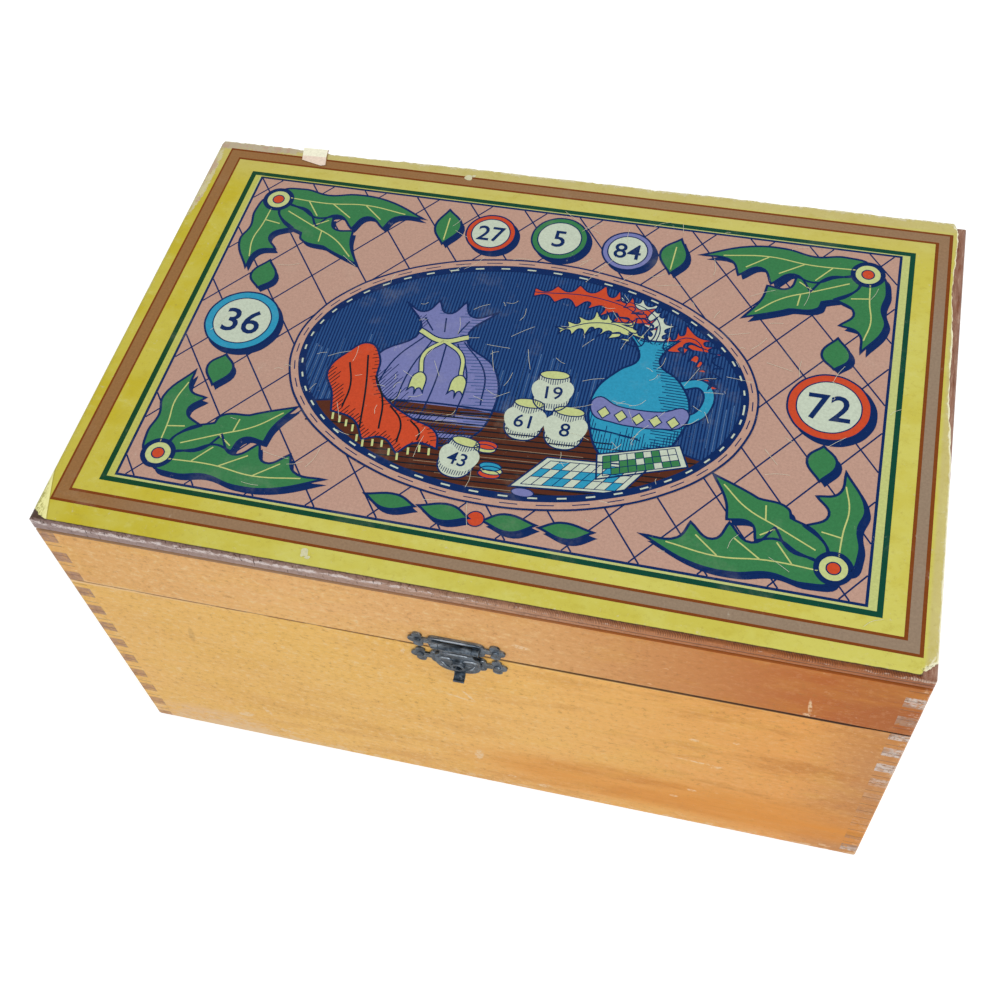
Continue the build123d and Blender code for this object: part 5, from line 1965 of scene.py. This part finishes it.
@dataclass
class DrawingBag:
    """Plain cloth bag, folded in half twice and laid on the cards."""

    width: float = 120.0
    length: float = 300.0
    ply: float = 1.02
    cloth: float = 0.62
    centre: Point = (-87.0, -30.0)
    floor: float = 43.62
    seed: int = 12

    @staticmethod
    def fold(along: float, height: float, line: float, stack: float, ply: float) -> Point:
        """Fold a stack of cloth over upward at a line.

        Args:
            along: Place across the fold.
            height: Height in the stack.
            line: Where the fold is.
            stack: Height of the stack's top ply.
            ply: Distance between plies.

        Returns:
            The folded place and height.
        """
        turn = math.pi * (stack + ply) / 2
        start = line - turn / 2
        radius = stack + ply / 2 - height
        if along <= start:
            return along, height
        if along >= start + turn:
            return 2 * start + turn - along, 2 * stack + ply - height
        angle = (along - start) / turn * math.pi
        return start + radius * math.sin(angle), height + radius * (1 - math.cos(angle))

    def stops(self, size: float, folds: Sequence[float], count: int) -> list[float]:
        """Places of the grid lines, closer together at the folds.

        Args:
            size: Length of the cloth this way.
            folds: Where the folds are.
            count: Number of grid cells.

        Returns:
            The places.
        """
        fine, crowding, reach = 200, 9.0, 3.5
        weight = [1.0 + sum(crowding * math.exp(-(((k + 0.5) / fine * size - f) / reach) ** 2) for f in folds)
                  for k in range(fine)]
        total = sum(weight)
        places, passed, k = [], 0.0, 0
        for line in range(count + 1):
            goal = total * line / count
            while k < fine and passed + weight[k] < goal:
                passed += weight[k]
                k += 1
            share = 0.0 if k >= fine else (goal - passed) / weight[k]
            places.append(min(size, (k + share) / fine * size))
        return places

    def rumpled(self, x: float, y: float, height: float) -> float:
        """Height of a point of the folded bag once it sags and creases.

        Args:
            x: Place from the bag's left side.
            y: Place from its front.
            height: Height in the flat stack.

        Returns:
            The height.
        """
        rise = noise.noise(Vector((x / 17, y / 17, 7.0))) * 0.45 + noise.noise(Vector((x / 6, y / 9, 3.0))) * 0.12
        crease = max(0.0, 0.13 - abs(noise.noise(Vector(((x + y) / 26, (y - x) / 13, 11.0))))) * 3.2
        edge = min(x - 1, self.width / 2 - 1 - x, y - 1, self.length / 4 - 1 - y)
        height *= 0.93 + rise * 0.16 - 0.1 * math.exp(-max(edge, 0.0) / 5.0)
        return height + (height / (7 * self.ply)) ** 2 * (rise * 2.0 + crease * 2.2)

    def build(self) -> None:
        """Fold the cloth."""
        cells = (56, 132)
        noise.seed_set(self.seed)  # unseeded, the drift's offsets come from the clock
        across = self.stops(self.width, [self.width / 2], cells[0])
        down = self.stops(self.length, [self.length / 4, self.length / 2, self.length * 3 / 4], cells[1])
        mesh = bmesh.new()
        mesh.loops.layers.uv.new("UVMap")
        bmesh.ops.create_grid(mesh, x_segments=cells[0], y_segments=cells[1], size=1.0, calc_uvs=True)
        uv = mesh.loops.layers.uv.active
        for vert in mesh.verts:
            column = round((vert.co.x + 1) / 2 * cells[0])
            row = round((vert.co.y + 1) / 2 * cells[1])
            u, v = across[column], down[row]
            for loop in vert.link_loops:
                loop[uv].uv = (u / self.width, v / self.length)
            drift = noise.noise_vector(Vector((u / 45, v / 45, 2.5))) * 1.3
            y, h = self.fold(v, 0.0, self.length / 2, 0.0, self.ply)
            x, h = self.fold(u, h, self.width / 2, self.ply, self.ply)
            y, h = self.fold(y, h, self.length / 4, 3 * self.ply, self.ply)
            x, y = x + drift.x, y + drift.y
            left, front = self.centre[0] - self.width / 4, self.centre[1] - self.length / 8
            vert.co = Vector((left + x, front + y, self.floor + self.cloth / 2 + self.rumpled(x, y, h))) * MM
        cloth = mesh_object("drawing_bag_cloth", mesh, True)
        solid = cloth.modifiers.new("thickness", "SOLIDIFY")
        solid.thickness = self.cloth * MM
        solid.offset = 0.0
        cloth.data.materials.append(Linen().material())
        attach(cloth, "base")
        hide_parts("drawing_bag")
        LOG.info("bag: %d faces", len(cloth.data.polygons))


def dress(names: Iterable[str], material: Material) -> None:
    """Give CAD nodes a finish.

    Args:
        names: The nodes.
        material: The finish.
    """
    for name in names:
        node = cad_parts[name]
        node.data.materials.clear()
        node.data.materials.append(material)
        LOG.info("%s: %s", name, material.name)


@dataclass
class Case:
    """Comb-jointed boards of base and lid, the top board, the bottom and the dividers."""

    halves: tuple[str, ...] = ("base", "lid")
    sides: tuple[tuple[Grain, tuple[str, str]], ...] = (
        (Grain.ACROSS, ("front", "rear")), (Grain.DEEP, ("left", "right")),
    )
    inside: tuple[str, ...] = ("bottom_panel", "cross_divider", "short_divider")

    def build(self) -> None:
        """Dress the wood."""
        for grain, sides in self.sides:
            boards = [f"{half}_{side}_board" for half in self.halves for side in sides]
            dress(boards, VarnishedWood(grain).material())
        dress(["top_board"], NosedWood().material())
        dress(self.inside, BareWood().material())


@dataclass
class Fittings:
    """Brass hinges at the rear and the steel brads of the bottom."""

    hinges: str = "hinge"
    brads: str = "bottom_brads"

    def build(self) -> None:
        """Dress the metal."""
        dress([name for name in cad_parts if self.hinges in name], TARNISHED_BRASS.material())
        dress([self.brads], DULL_STEEL.material())


@dataclass
class Counters:
    """Flat counters in their stacks."""

    node: str = "counters"

    def build(self) -> None:
        """Dress the counters."""
        dress([self.node], StainedCounter().material())


def main() -> None:
    """Build every sub-assembly in order."""
    logging.basicConfig(level=logging.INFO, format="%(message)s")
    for part in (Studio(), Case(), Fittings(), Catch(), Label(), NumberPieces(), Counters(), Cards(), DrawingBag()):
        LOG.info("building %s", type(part).__name__)
        part.build()


if __name__ == "__main__":
    main()
